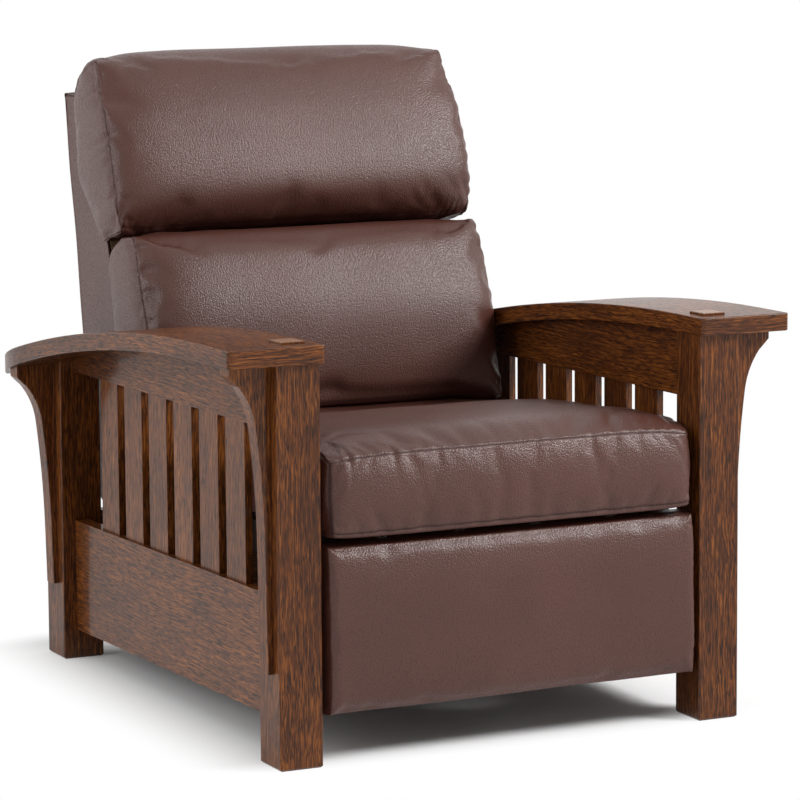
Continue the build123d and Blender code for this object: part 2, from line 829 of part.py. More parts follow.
# Back: side panels cut to the profile that the leather follows, and rails between them


def back_rear(z):
    share = (z - back_bottom) / (back_top - back_bottom)
    return back_rear_at_bottom + share * (back_rear_at_top - back_rear_at_bottom)


def back_front(z):
    # The front edge runs up, steps back above the lumbar pillow, and runs up again.
    steps = [(back_bottom, back_front_at_bottom), (back_front_low_z, back_front_low_y),
             (back_front_step_z, back_front_step_y), (back_front_high_z, back_front_high_y),
             (back_top, back_front_at_top)]
    for (z0, y0), (z1, y1) in zip(steps, steps[1:]):
        if z <= z1:
            return y0 + (z - z0) / (z1 - z0) * (y1 - y0)
    return back_front_at_top


def back_profile(rear_inset, top_inset):
    # The lower edge hangs lower in front than at the rear, where it swings over the rear rail.
    top = back_top - top_inset
    return outline((back_skirt_y, back_skirt_z), (back_front_at_bottom, back_skirt_z),
                   (back_front_at_bottom, back_bottom), (back_front_low_y, back_front_low_z),
                   (back_front_step_y, back_front_step_z), (back_front_high_y, back_front_high_z),
                   (back_front(top), top), (back_rear(top) - rear_inset, top),
                   (back_rear(back_bottom) - rear_inset, back_bottom))


panel_inset = cover_thickness + soft_clearance
back_panel = across(back_profile(panel_inset, panel_inset), back_panel_inner, back_panel_outer)


def back_rail(z_low):
    # A rail between the side panels, set against their rear edges.
    z_high = z_low + back_rail_height
    rear = back_rear(z_low) - panel_inset
    rear_high = back_rear(z_high) - panel_inset
    return across(outline((rear - back_rail_depth, z_low), (rear, z_low), (rear_high, z_high),
                          (rear_high - back_rail_depth, z_high)), -back_panel_inner, back_panel_inner)


back_top_rail = back_rail(back_top - panel_inset - back_rail_height)
back_bottom_rail = back_rail(back_bottom)
back_lumbar_rail = back_rail(back_front_low_z)
cover_outside = across(back_profile(0, 0), -cover_outer, cover_outer)
hollow_low = back_skirt_z - overrun
hollow_high = back_top - cover_thickness
cover_hollow = across(outline((back_front_at_bottom - overrun, hollow_low),
                              (back_front_at_bottom - overrun, hollow_high),
                              (back_rear(hollow_high) - cover_thickness, hollow_high),
                              (back_rear(hollow_low) - cover_thickness, hollow_low)),
                      -cover_inner, cover_inner)
back_cover = cover_outside - cover_hollow

# Webbing straps across the front edges of the side panels


def web_strap(z_low, z_high):
    front_low = back_front(z_low)
    front_high = back_front(z_high)
    return across(outline((front_low, z_low), (front_low + web_thickness, z_low),
                          (front_high + web_thickness, z_high), (front_high, z_high)),
                  -back_panel_inner, back_panel_inner)


straps = []
for number in range(web_count):
    low = back_bottom + back_rail_height + number * web_pitch
    straps.append(web_strap(low, low + web_width))
for low in (back_front_low_z + back_rail_depth, back_front_high_z):
    straps.append(web_strap(low, low + web_width))


# Hinge brackets on the inner faces of the back's side panels

bracket_top = back_pivot_z + back_bracket_reach
bracket_front = back_front(bracket_top) + back_rail_depth
back_bracket = across(outline((back_pivot_y - link_width / 2, back_pivot_z - link_width / 2),
                              (back_pivot_y + link_width / 2, back_pivot_z - link_width / 2),
                              (bracket_front + back_bracket_width, bracket_top),
                              (bracket_front, bracket_top)),
                      back_bracket_inner, back_panel_inner)
back_bracket -= rod(back_pivot_y, back_pivot_z, pin_radius + pin_fit, 0, frame_width)
bracket_bolts = []
bracket_run = bracket_front + back_bracket_width / 2 - back_pivot_y
for rise in (back_bracket_reach - bolt_inset, back_bracket_reach / 2):
    y_bolt = back_pivot_y + bracket_run * rise / back_bracket_reach
    bracket_bolts.append(bolt(y_bolt, back_pivot_z + rise, back_bracket_inner,
                              back_panel_inner + screw_bite))
for cutter in bracket_bolts:
    back_bracket -= cutter
    back_panel -= cutter

# Back pillows: sections that fan up from the seat, crowned in front, drawn in at the sides


def fan_section(front, back, half_width, crown, side_bulge):
    # The section's plane holds the front and back seams; its front edge bulges by crown.
    depth = math.hypot(back[0] - front[0], back[1] - front[1])
    uy = (back[0] - front[0]) / depth
    uz = (back[1] - front[1]) / depth
    plane = Plane(origin=(0, front[0], front[1]), x_dir=(1, 0, 0), z_dir=(0, -uz, uy))
    edges = [
        Line((-half_width, depth), (half_width, depth)),
        ThreePointArc((half_width, depth), (half_width + side_bulge, depth / 2), (half_width, 0)),
        crown_line(half_width, 0, -crown),
        ThreePointArc((-half_width, 0), (-half_width - side_bulge, depth / 2), (-half_width, depth)),
    ]
    return plane * make_face(Wire(edges))


def pillow(seams, half_width, swell, crown, crown_shares, cap_front, cap_back):
    last = len(seams) - 1
    sections = []
    for index, (front, back) in enumerate(seams):
        swollen = swell * math.sin(math.pi * index / last)
        sections.append(fan_section(front, back, half_width + swollen, crown * crown_shares[index],
                                    pillow_side_bulge))
    cap = fan_section(cap_front, cap_back, half_width - pillow_cap_inset, crown * crown_shares[-1],
                      pillow_side_bulge)
    return loft(sections) + loft([sections[-1], cap], ruled=True)


# The lumbar pillow stands on the cushion near its last section but one
cushion_top_behind = (cushion_seam_top - cushion_fall_shares[3] * cushion_fall
                      + cushion_crown_shares[3] * cushion_crown)

# Seams in the side view, from the bottom one to the top one: how far back the front seam lies, as
# a share of the pillow's depth, how high it lies and how far the rear seam drops, as shares of the
# pillow's height, and the crown as a share of its greatest
lumbar_front_shares = (0.0, 0.03, 0.13, 0.33, 0.5)
lumbar_rise_shares = (0.0, 0.27, 0.52, 0.8, 1.0)
lumbar_drop_shares = (0.0, 0.02, 0.04, 0.1, 0.13)
lumbar_crown_shares = (0.4, 0.9, 1.0, 1.0, 0.5)
lumbar_bottom = cushion_top_behind + soft_clearance + lumbar_lift
lumbar_height = lumbar_top - lumbar_bottom
lumbar_seams = []
for forward, rise, drop in zip(lumbar_front_shares, lumbar_rise_shares, lumbar_drop_shares):
    z_front = lumbar_bottom + rise * lumbar_height
    z_back = z_front - drop * lumbar_height
    lumbar_seams.append(((lumbar_front + forward * lumbar_depth, z_front),
                         (back_front(z_back) - pillow_gap, z_back)))
lumbar_last_front, lumbar_last_back = lumbar_seams[-1]
lumbar_pillow = pillow(lumbar_seams, lumbar_half_width, lumbar_side_swell, lumbar_crown, lumbar_crown_shares,
                       (lumbar_last_front[0] + pillow_cap_height,
                        lumbar_last_front[1] + pillow_cap_height * lumbar_cap_front_share),
                       (lumbar_last_back[0] - pillow_cap_height / 2,
                        lumbar_last_back[1] + pillow_cap_height * lumbar_cap_rear_share))

head_front_shares = (0.0, 0.03, 0.19, 0.44, 0.8)
head_rise_shares = (0.0, 0.2, 0.46, 0.72, 1.0)
head_drop_shares = (0.2, 0.12, 0.04, 0.03, 0.09)
head_crown_shares = (0.35, 0.8, 1.0, 0.85, 0.3)
head_height = head_top - head_bottom
head_seams = []
for forward, rise, drop in zip(head_front_shares, head_rise_shares, head_drop_shares):
    z_front = head_bottom + rise * head_height
    z_back = z_front - drop * head_height
    clear = step_gap if z_back < back_front_high_z else 0
    head_seams.append(((head_front + forward * head_depth, z_front),
                       (back_front(z_back) - pillow_gap - clear, z_back)))
head_last_front, head_last_back = head_seams[-1]
head_pillow = pillow(head_seams, head_half_width, head_side_swell, head_crown, head_crown_shares,
                     (head_last_front[0] + pillow_cap_height,
                      head_last_front[1] + pillow_cap_height * head_cap_front_share),
                     (head_last_back[0] - pillow_cap_height / 2,
                      head_last_back[1] + pillow_cap_height * head_cap_rear_share))

# Both pillows are trimmed to lie just in front of the back's profile
behind_pillows = Pos(0, -pillow_gap, 0) * across(back_profile(0, 0), -frame_width, frame_width)
lumbar_pillow -= behind_pillows
head_pillow -= behind_pillows

# The nodes

nodes = {
    "arm_right": arm_right,
    "front_post_right": front_post(),
    "rear_post_right": rear_post(),
    "top_rail_right": top_rail_right,
    "bottom_rail_right": bottom_rail_right,
    "corbel_front_right": corbel_front_right,
    "corbel_rear_right": corbel_rear_right,
}
for index in range(slat_count):
    nodes["slat_right_" + str(index + 1)] = slat(index, 0)
for name in list(nodes):
    nodes[name.replace("right", "left")] = flipped(nodes[name])
nodes["rear_rail"] = rear_rail
nodes["cross_rail"] = cross_rail
nodes["seat_tracks"] = both(track)
nodes["seat_side_rails"] = both(seat_side_rail)
nodes["seat_front_rail"] = seat_front_rail
nodes["seat_rear_rail"] = seat_rear_rail
nodes["seat_springs"] = group(*springs)
nodes["spring_clips"] = group(*clips)
nodes["seat_deck"] = seat_deck
nodes["seat_cushion"] = seat_cushion
nodes["seat_hangers"] = both(*hangers)
nodes["slide_blocks"] = both(*slide_blocks)
nodes["pivot_plates"] = both(link_plate, back_plate)
nodes["seat_bolts"] = both(*bolts)
nodes["seat_pivot_pins"] = both(link_pin, back_pin)
nodes["first_links"] = both(first_link)
nodes["torque_tube"] = torque_tube
nodes["second_links"] = both(second_link)
nodes["middle_pins"] = both(middle_pin)
nodes["footrest_brackets"] = both(panel_bracket)
nodes["footrest_board"] = footrest_board
nodes["footrest_pad"] = footrest_pad
nodes["footrest_screws"] = both(*footrest_screws)
nodes["footrest_pins"] = both(panel_pin)
nodes["back_side_panels"] = both(back_panel)
nodes["back_top_rail"] = back_top_rail
nodes["back_lumbar_rail"] = back_lumbar_rail
nodes["back_bottom_rail"] = back_bottom_rail
nodes["back_webbing"] = group(*straps)
nodes["back_cover"] = back_cover
nodes["back_brackets"] = both(back_bracket)
nodes["bracket_bolts"] = both(*bracket_bolts)
nodes["lumbar_pillow"] = lumbar_pillow
nodes["head_pillow"] = head_pillow


def leaned(solid):
    # Turns the chair back about the front feet, so that the shorter rear legs reach the floor.
    return Pos(0, foot_front, 0) * Rot(-lean, 0, 0) * Pos(0, -foot_front, 0) * solid


standing = []
for pieces in nodes.values():
    solids = pieces if isinstance(pieces, list) else pieces.solids()
    standing += [leaned(solid).bounding_box() for solid in solids]
front_reach = min(box.min.Y for box in standing)
rear_reach = max(box.max.Y for box in standing)
centre_y = (front_reach + rear_reach) / 2


def place(solid):
    # The origin is on the floor, in the middle of the chair's width and depth.
    return Pos(0, -centre_y, 0) * leaned(solid)


os.makedirs("parts", exist_ok=True)
for name, pieces in nodes.items():
    solids = pieces if isinstance(pieces, list) else pieces.solids()
    placed = [place(solid) for solid in solids]
    shape = placed[0] if len(placed) == 1 else Compound(children=placed)
    export_step(shape, "parts/" + name + ".step")
print(len(nodes), "nodes, lean", round(lean, 3), "degrees")
print("origin", round(centre_y, 2), "behind the frame's middle")
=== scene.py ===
import math

import bpy
import numpy as np
from mathutils import Matrix, Vector


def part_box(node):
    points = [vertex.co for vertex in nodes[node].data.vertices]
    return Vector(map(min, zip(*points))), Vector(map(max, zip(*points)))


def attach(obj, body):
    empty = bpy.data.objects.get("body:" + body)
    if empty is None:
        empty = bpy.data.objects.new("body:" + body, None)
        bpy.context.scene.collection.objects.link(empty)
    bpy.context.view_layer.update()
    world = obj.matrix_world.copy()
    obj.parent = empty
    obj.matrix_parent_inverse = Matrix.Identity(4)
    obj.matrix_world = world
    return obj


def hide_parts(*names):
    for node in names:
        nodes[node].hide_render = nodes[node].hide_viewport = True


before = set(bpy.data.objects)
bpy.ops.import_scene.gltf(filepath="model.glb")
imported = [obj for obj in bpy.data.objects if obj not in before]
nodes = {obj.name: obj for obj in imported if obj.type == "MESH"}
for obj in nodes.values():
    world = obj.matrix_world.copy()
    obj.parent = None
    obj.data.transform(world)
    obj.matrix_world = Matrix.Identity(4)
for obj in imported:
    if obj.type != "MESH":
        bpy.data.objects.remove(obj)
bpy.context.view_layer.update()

print("frame loaded:", len(nodes), "nodes")

# Soft pieces are drawn in millimetres with the rails level, then leaned back with the chair
chairStance = {"lean": 1.249479, "hingeY": -378.25, "originY": 49.5509}


def standChair(points):
    # Turns points about the line of the front feet, moves them to the row's origin, mm to metres.
    turn = math.radians(chairStance["lean"])
    feet = chairStance["hingeY"]
    y, z = points[:, 1] - feet, points[:, 2]
    placed = np.empty((len(points), 3))
    placed[:, 0] = points[:, 0]
    placed[:, 1] = y * math.cos(turn) + z * math.sin(turn) + feet - chairStance["originY"]
    placed[:, 2] = z * math.cos(turn) - y * math.sin(turn)
    return placed / 1000


# Shader writing: a socket that does sums, and one way to add any node


class Wire:
    def __init__(self, paint, socket):
        self.paint = paint
        self.socket = socket

    def __add__(self, other):
        return self.paint.math("ADD", self, other)

    def __radd__(self, other):
        return self.paint.math("ADD", other, self)

    def __sub__(self, other):
        return self.paint.math("SUBTRACT", self, other)

    def __rsub__(self, other):
        return self.paint.math("SUBTRACT", other, self)

    def __mul__(self, other):
        return self.paint.math("MULTIPLY", self, other)

    def __rmul__(self, other):
        return self.paint.math("MULTIPLY", other, self)

    def __truediv__(self, other):
        return self.paint.math("DIVIDE", self, other)

    def __pow__(self, other):
        return self.paint.math("POWER", self, other)


class Paint:
    def __init__(self, owner):
        owner.use_nodes = True
        self.owner = owner
        self.tree = owner.node_tree
        self.tree.nodes.clear()

    def add(self, kind, settings=None, inputs=None, out=0):
        node = self.tree.nodes.new(kind)
        for key, value in (settings or {}).items():
            if key == "stops":
                ramp = node.color_ramp
                while len(ramp.elements) < len(value):
                    ramp.elements.new(0.5)
                for element, (place, tone) in zip(ramp.elements, value):
                    element.position = place
                    element.color = (*tone, 1) if hasattr(tone, "__len__") else (tone, tone, tone, 1)
            else:
                setattr(node, key, value)
        for key, value in (inputs or {}).items():
            if isinstance(value, Wire):
                self.tree.links.new(value.socket, node.inputs[key])
            else:
                node.inputs[key].default_value = value
        return Wire(self, node.outputs[out]) if len(node.outputs) else None

    def place(self):
        # Object coordinates, in metres.
        return self.add("ShaderNodeTexCoord", out=3)

    def axes(self, vector):
        split = self.add("ShaderNodeSeparateXYZ", inputs={0: vector})
        return [Wire(self, split.socket.node.outputs[i]) for i in range(3)]

    def joined(self, x, y, z):
        return self.add("ShaderNodeCombineXYZ", inputs={0: x, 1: y, 2: z})

    def noise(self, vector, scale, detail=2.0, rough=0.5):
        return self.add("ShaderNodeTexNoise", inputs={"Vector": vector, "Scale": scale,
                                                      "Detail": detail, "Roughness": rough})

    def math(self, operation, first, second=0.0):
        return self.add("ShaderNodeMath", {"operation": operation}, {0: first, 1: second})

    def cells(self, vector, scale):
        # The distance to the nearest of many scattered points.
        return self.add("ShaderNodeTexVoronoi", {"feature": "F1"}, {"Vector": vector, "Scale": scale})

    def between(self, value, low, high, start=0.0, end=1.0):
        # The value's run from low to high, made smooth from start to end.
        return self.add("ShaderNodeMapRange", {"interpolation_type": "SMOOTHSTEP"},
                        {"Value": value, "From Min": low, "From Max": high,
                         "To Min": start, "To Max": end})

    def mix(self, share, first, second, blend="MIX"):
        return self.add("ShaderNodeMix", {"data_type": "RGBA", "blend_type": blend},
                        {0: share, 6: self.tone(first), 7: self.tone(second)}, 2)

    def tone(self, value):
        return value if isinstance(value, Wire) or len(value) == 4 else (*value, 1)

    def ramp(self, value, stops):
        return self.add("ShaderNodeValToRGB", {"stops": stops}, {0: value})

    def bump(self, height, distance, strength=1.0):
        return self.add("ShaderNodeBump", inputs={"Height": height, "Distance": distance,
                                                  "Strength": strength})

    def finish(self, **sockets):
        # The surface's sockets by name, with capitals and spaces put back: baseColor is Base Color.
        names = {"baseColor": "Base Color", "roughness": "Roughness", "metallic": "Metallic",
                 "normal": "Normal", "coat": "Coat Weight", "coatRoughness": "Coat Roughness",
                 "specular": "Specular IOR Level"}
        inputs = {names[key]: self.tone(value) if key == "baseColor" else value
                  for key, value in sockets.items()}
        surface = self.add("ShaderNodeBsdfPrincipled", inputs=inputs)
        self.add("ShaderNodeOutputMaterial", inputs={"Surface": surface})
        return self.owner


def newPaint(name):
    return Paint(bpy.data.materials.new(name))


# Oak under a clear lacquer: fine streaks and open pores drawn out along the grain, faint rings, and a
# painted sheen, a pale tone on the tops above a set height.
# Each pattern has its marks per metre across and along the grain, its detail and its roughness.
oakFinish = {
    "dark": (0.012, 0.0038, 0.0014), "deep": (0.05, 0.013, 0.0022), "middle": (0.12, 0.0325, 0.0046),
    "light": (0.26, 0.082, 0.0125), "tip": (0.5, 0.3, 0.2), "stops": (0.38, 0.52, 0.72),
    "roughness": 0.5, "poreRoughness": 0.15, "coat": 0.38, "coatRoughness": 0.12, "specular": 0.12,
    "sway": (9.0, 6.0, 2.0, 0.5), "swing": (4.0, 1.9, 2.0, 0.5), "streaks": (430.0, 15.0, 2.0, 0.55),
    "threads": (640.0, 60.0, 1.0, 0.5), "pores": (640.0, 48.0, 1.0, 0.5), "clouds": (10.0, 3.0, 2.0, 0.5),
    "wander": (0.012, 0.03, 0.008), "heart": 0.11, "ring": 0.0056,
    "weights": {"streaks": 0.7, "threads": 0.5, "ring": 0.07, "clouds": 0.35, "level": -0.14},
    "poreEdges": (0.31, 0.44), "poreRing": 0.06, "poreShare": 0.8, "poreDepth": 0.0002,
    "poreStrength": 0.4, "tipHeight": 0.5728, "tipShare": 0.45, "edge": 0.0004,
}


def grainNoise(paint, spot, pattern, shift):
    # Noise on a place given across, into and along the grain, drawn out along it.
    across, along, detail, rough = pattern
    wide, deep, long = spot
    return paint.noise(paint.joined(wide * across, deep * across, long * along + shift), 1.0, detail, rough)


def oakMaterial(name, along, shift=0.0, bow=None, tone=1.0):
    # along is the grain's axis; bow bends the grain down along an arc that starts at a Y place, and
    # turns it across the chair on the end in front of its face place.
    paint = newPaint(name)
    finish = oakFinish
    weights = finish["weights"]
    x, y, z = paint.axes(paint.place())
    toFeet = (chairStance["hingeY"] - chairStance["originY"]) / 1000
    level = z + (y - toFeet) * math.tan(math.radians(chairStance["lean"]))
    wide, deep, long = {"z": (x, y, z), "y": (x, z, y), "x": (y, z, x)}[along]
    if bow:
        run = paint.math("MAXIMUM", y - bow["start"])
        deep = z + run * run / (2 * bow["radius"])
        end = paint.between(y, bow["face"], bow["face"] + finish["edge"], 1.0, 0.0)
        wide, long = x + end * (y - x), y + end * (x - y)
    sway = grainNoise(paint, (wide, deep, long), finish["sway"], shift) - 0.5
    swing = grainNoise(paint, (wide, deep, long), finish["swing"], -shift) - 0.5
    byWidth, byDepth, more = finish["wander"]
    wide, deep = wide + sway * byWidth, deep + swing * byDepth + sway * more
    spot = (wide, deep, long)
    fromHeart = deep + finish["heart"]
    turns = (wide * wide + fromHeart * fromHeart) ** 0.5 * (2 * math.pi / finish["ring"])
    ring = paint.math("SINE", turns) * 0.5 + 0.5
    streaks = grainNoise(paint, spot, finish["streaks"], shift)
    threads = grainNoise(paint, spot, finish["threads"], -shift)
    pores = grainNoise(paint, spot, finish["pores"], shift)
    clouds = grainNoise(paint, spot, finish["clouds"], -shift) - 0.5
    body = streaks * weights["streaks"] + threads * weights["threads"] + ring * weights["ring"]
    body = body + clouds * weights["clouds"] + weights["level"]
    tones = (finish["deep"], finish["middle"], finish["light"])
    base = paint.ramp(body, list(zip(finish["stops"], tones)))
    dashes = paint.between(pores - ring * finish["poreRing"], *finish["poreEdges"], 1.0, 0.0)
    base = paint.mix(dashes * finish["poreShare"], base, finish["dark"])
    # tone scales the piece's whole colour; on the slats and rails it is painted light, lifting them for the
    # light that falls there.
    base = paint.mix(1.0, base, (tone, tone, tone), "MULTIPLY")
    # Painted sheen: above a set height, on the arm tops, the colour is mixed towards a pale tone that
    # stands in for the lacquer's reflection.
    tip = paint.between(level, finish["tipHeight"], finish["tipHeight"] + finish["edge"])
    base = paint.mix(tip * finish["tipShare"], base, finish["tip"])
    return paint.finish(baseColor=base, roughness=finish["roughness"] + dashes * finish["poreRoughness"],
                        normal=paint.bump(1 - dashes, finish["poreDepth"], finish["poreStrength"]),
                        coat=finish["coat"], coatRoughness=finish["coatRoughness"],
                        specular=finish["specular"])


# Leather: even pebbles about two millimetres across, darker between them, with painted shade in the seams
leatherFinish = {
    "deep": (0.028, 0.008, 0.005), "body": (0.079, 0.026, 0.0175), "worn": (0.09, 0.0315, 0.0222),
    "seam": (0.014, 0.0042, 0.003), "roughness": 0.3, "gapRoughness": 0.16, "seamRoughness": 0.45,
    "specular": 0.44, "pebble": 450.0, "smallPebble": 855.0, "height": 1.2, "smallHeight": 0.3,
    "relief": 0.00045, "strength": 0.85, "gapEdges": (0.35, 0.8), "gapShare": 0.3, "seamShadeShare": 0.8,
    "cloud": 7.0, "cloudEdges": (0.35, 0.65),
}


def leatherMaterial(name):
    # The seam attribute of each cushion, 1 in its seams, darkens the leather there as painted shade in the
    # seam grooves, and dulls it.
    paint = newPaint(name)
    spot = paint.place()
    finish = leatherFinish
    cells = paint.cells(spot, finish["pebble"])
    small = paint.cells(spot, finish["smallPebble"])
    gap = paint.between(cells, *finish["gapEdges"])
    height = 1 - cells * finish["height"] - small * finish["smallHeight"]
    cloud = paint.between(paint.noise(spot, finish["cloud"]), *finish["cloudEdges"])
    base = paint.mix(cloud, finish["body"], finish["worn"])
    base = paint.mix(gap * finish["gapShare"], base, finish["deep"])
    # Painted shade: the seam colour darkens the leather where the seam attribute is high.
    seam = paint.add("ShaderNodeAttribute", {"attribute_name": "seam"}, out=2)
    base = paint.mix(seam * finish["seamShadeShare"], base, finish["seam"])
    rough = finish["roughness"] + gap * finish["gapRoughness"] + seam * finish["seamRoughness"]
    return paint.finish(baseColor=base, roughness=rough, specular=finish["specular"],
                        normal=paint.bump(height, finish["relief"], finish["strength"]))


metalFinish = {"cloud": 35.0, "grit": 900.0, "cloudEdges": (0.35, 0.7), "cloudShare": 0.5, "darker": 0.6,
               "spread": 0.18, "strength": 0.4}


def metalMaterial(name, colour, roughness, metallic, relief=0.0001):
    # A plain metal or plastic, slightly clouded, with a fine grit.
    paint = newPaint(name)
    spot = paint.place()
    finish = metalFinish
    cloud = paint.noise(spot, finish["cloud"], 3.0)
    grit = paint.noise(spot, finish["grit"])
    darker = tuple(c * finish["darker"] for c in colour)
    base = paint.mix(paint.between(cloud, *finish["cloudEdges"]) * finish["cloudShare"], colour, darker)
    return paint.finish(baseColor=base, roughness=roughness + (cloud - 0.5) * finish["spread"],
                        metallic=metallic, normal=paint.bump(grit, relief, finish["strength"]))


boardFinish = {"along": 6.0, "across": 150.0, "fibreEdges": (0.35, 0.65), "lineEdges": (0.7, 0.95),
               "lineShare": 0.5, "lineDarker": 0.4, "roughness": 0.62, "spread": 0.2, "relief": 0.0002}


def boardMaterial(name, pale, dark, layers=0.0):
    # Wood inside, the unfinished plywood and the near-black frame: long fibres along X, and glue lines
    # where the board is plywood.
    paint = newPaint(name)
    finish = boardFinish
    x, y, z = paint.axes(paint.place())
    across = finish["across"]
    fibre = paint.noise(paint.joined(x * finish["along"], y * across, z * across), 1.0, 3.0, 0.6)
    base = paint.mix(paint.between(fibre, *finish["fibreEdges"]), pale, dark)
    if layers:
        lines = paint.between(paint.math("SINE", y * layers), *finish["lineEdges"])
        base = paint.mix(lines * finish["lineShare"], base, tuple(c * finish["lineDarker"] for c in dark))
    return paint.finish(baseColor=base, roughness=finish["roughness"] + (fibre - 0.5) * finish["spread"],
                        normal=paint.bump(fibre, finish["relief"], 0.5))


weaveFinish = {"fuzz": 700.0, "weaveShare": 0.6, "fuzzShare": 0.4, "roughness": 0.85, "spread": 0.1,
               "relief": 0.0003, "strength": 0.7}


def weaveMaterial(name, pale, dark, pitch):
    # Warp and weft as two crossed waves; where one is high the other dips.
    paint = newPaint(name)
    finish = weaveFinish
    x, y, z = paint.axes(paint.place())
    warp = paint.math("SINE", x * (2 * math.pi / pitch))
    weft = paint.math("SINE", (y + z) * (2 * math.pi / pitch))
    weave = warp * weft * 0.5 + 0.5
    fuzz = paint.noise(paint.place(), finish["fuzz"])
    base = paint.mix(weave * finish["weaveShare"] + fuzz * finish["fuzzShare"], dark, pale)
    return paint.finish(baseColor=base, roughness=finish["roughness"] + (fuzz - 0.5) * finish["spread"],
                        normal=paint.bump(weave + fuzz * finish["fuzzShare"], finish["relief"],
                                          finish["strength"]))


armBow = {"start": -0.384, "radius": 3.06, "face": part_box("arm_left")[0].y + 0.0022}
paints = {
    "oakPost": oakMaterial("oakPost", "z", 0.7),
    # oakSlat and oakRail are lighter copies of the oak: painted light for the extra light that falls on the
    # slats and rails.
    "oakSlat": oakMaterial("oakSlat", "z", 4.1, tone=1.08),
    "oakCorbel": oakMaterial("oakCorbel", "z", 8.3, tone=1.05),
    "oakRail": oakMaterial("oakRail", "y", 2.9, tone=1.05),
    "oakArm": oakMaterial("oakArm", "y", 6.2, bow=armBow),
    "oakCross": oakMaterial("oakCross", "x", 5.5),
    "leather": leatherMaterial("leather"),
    # The inner frame's near black is partly a dark stain and partly painted shade, darkening the inside of
    # the chair seen between the slats.
    "frameWood": boardMaterial("frameWood", (0.035, 0.016, 0.009), (0.02, 0.009, 0.005)),
    "plywood": boardMaterial("plywood", (0.3, 0.19, 0.1), (0.2, 0.115, 0.055), 3200.0),
    "blackSteel": metalMaterial("blackSteel", (0.018, 0.018, 0.019), 0.42, 0.0, 0.0002),
    "zincSteel": metalMaterial("zincSteel", (0.55, 0.54, 0.5), 0.33, 1.0),
    "springSteel": metalMaterial("springSteel", (0.2, 0.2, 0.21), 0.38, 1.0),
    "nylon": metalMaterial("nylon", (0.62, 0.6, 0.53), 0.5, 0.0),
    "felt": weaveMaterial("felt", (0.03, 0.027, 0.025), (0.012, 0.011, 0.01), 0.0022),
    "webbing": weaveMaterial("webbing", (0.36, 0.27, 0.16), (0.14, 0.09, 0.05), 0.0035),
}

# Each paint with the starts of its nodes' names; all other nodes are zinc-plated steel
nodePaints = {
    "oakPost": ("front_post", "rear_post"), "oakArm": ("arm_",), "oakRail": ("top_rail", "bottom_rail"),
    "oakCorbel": ("corbel",), "oakSlat": ("slat",), "oakCross": ("rear_rail", "cross_rail"),
    "frameWood": ("seat_side_rails", "seat_front_rail", "seat_rear_rail", "back_top_rail",
                  "back_lumbar_rail", "back_bottom_rail"),
    "plywood": ("footrest_board", "back_side_panels"), "springSteel": ("seat_springs",),
    "nylon": ("slide_blocks",),
    "blackSteel": ("seat_tracks", "seat_hangers", "pivot_plates", "first_links", "second_links",
                   "torque_tube", "footrest_brackets", "back_brackets"),
}
for name, node in nodes.items():
    kind = next((paint for paint, starts in nodePaints.items() if name.startswith(starts)), "zincSteel")
    node.data.materials.clear()
    node.data.materials.append(paints[kind])
print("materials on the solids")


# Meshes: each stuffed piece starts as a closed shell of six grids, whose points keep their shares
# from 0 to 1 across, from front to rear and from bottom to top as their place


def boxShell(counts):
    # Every lattice point on the faces of a box of counts cells, once each, as shares of its sides,
    # and the four corners of every cell, wound to face outwards.
    counts = np.array(counts)
    strides = np.array([1, counts[0] + 1, (counts[0] + 1) * (counts[1] + 1)])
    quads = []
    for axis in range(3):
        u, v = (axis + 1) % 3, (axis + 2) % 3
        cellU, cellV = np.meshgrid(np.arange(counts[u]), np.arange(counts[v]), indexing="ij")
        for end in (0, counts[axis]):
            ring = [(end * strides[axis] + (cellU + du) * strides[u] + (cellV + dv) * strides[v]).ravel()
                    for du, dv in ((0, 0), (1, 0), (1, 1), (0, 1))]
            quads.append(np.stack(ring if end else ring[::-1], axis=1))
    keys, faces = np.unique(np.concatenate(quads), return_inverse=True)
    lattice = np.stack([keys % strides[1], keys % strides[2] // strides[1], keys // strides[2]], axis=1)
    return lattice / counts, faces.reshape(-1, 4)


def gathered(share, pull):
    # A share moved towards its nearer end, so that lines crowd along the seams.
    return share - pull * np.sin(2 * math.pi * share) / (2 * math.pi)


def gatheredShell(cells, pulls):
    # The shares of a shell's points across, from front to rear and from bottom to top.
    places, faces = boxShell(cells)
    return [gathered(share, pull) for share, pull in zip(places.T, pulls)], faces


edgeShare = 0.0005      # a share this near to 0 or 1 lies on that end's face


def atLow(share):
    return share <= edgeShare


def atHigh(share):
    return share >= 1 - edgeShare


def onEnds(share):
    return atLow(share) | atHigh(share)


def toEnds(share, length):
    # The distance from the nearer end of a length.
    return np.minimum(share, 1 - share) * length


def linked(name, data):
    thing = bpy.data.objects.new(name, data)
    bpy.context.scene.collection.objects.link(thing)
    return thing


def sheetGrid(cells):
    # The shares of a flat sheet's points across and along it, row by row, and its faces.
    across, along = np.meshgrid(*[np.linspace(0, 1, count + 1) for count in cells], indexing="ij")
    grid = np.arange(across.size).reshape(across.shape)
    faces = np.stack([grid[:-1, :-1], grid[1:, :-1], grid[1:, 1:], grid[:-1, 1:]], axis=-1)
    return across.ravel(), along.ravel(), faces.reshape(-1, 4)


def smoothPiece(name, points, faces, paint):
    mesh = bpy.data.meshes.new(name)
    mesh.from_pydata(points.tolist(), [], faces.tolist())
    mesh.materials.append(paints[paint])
    mesh.shade_smooth()
    return linked(name, mesh)


def leatherPiece(name, points, faces, shares):
    # The three shares of each point are kept as its place, which subdivision carries on.
    piece = smoothPiece(name, standChair(points), faces, "leather")
    mark = piece.data.attributes.new("place", "FLOAT_VECTOR", "POINT")
    mark.data.foreach_set("vector", np.stack(shares, axis=1).astype(np.float32).ravel())
    return piece


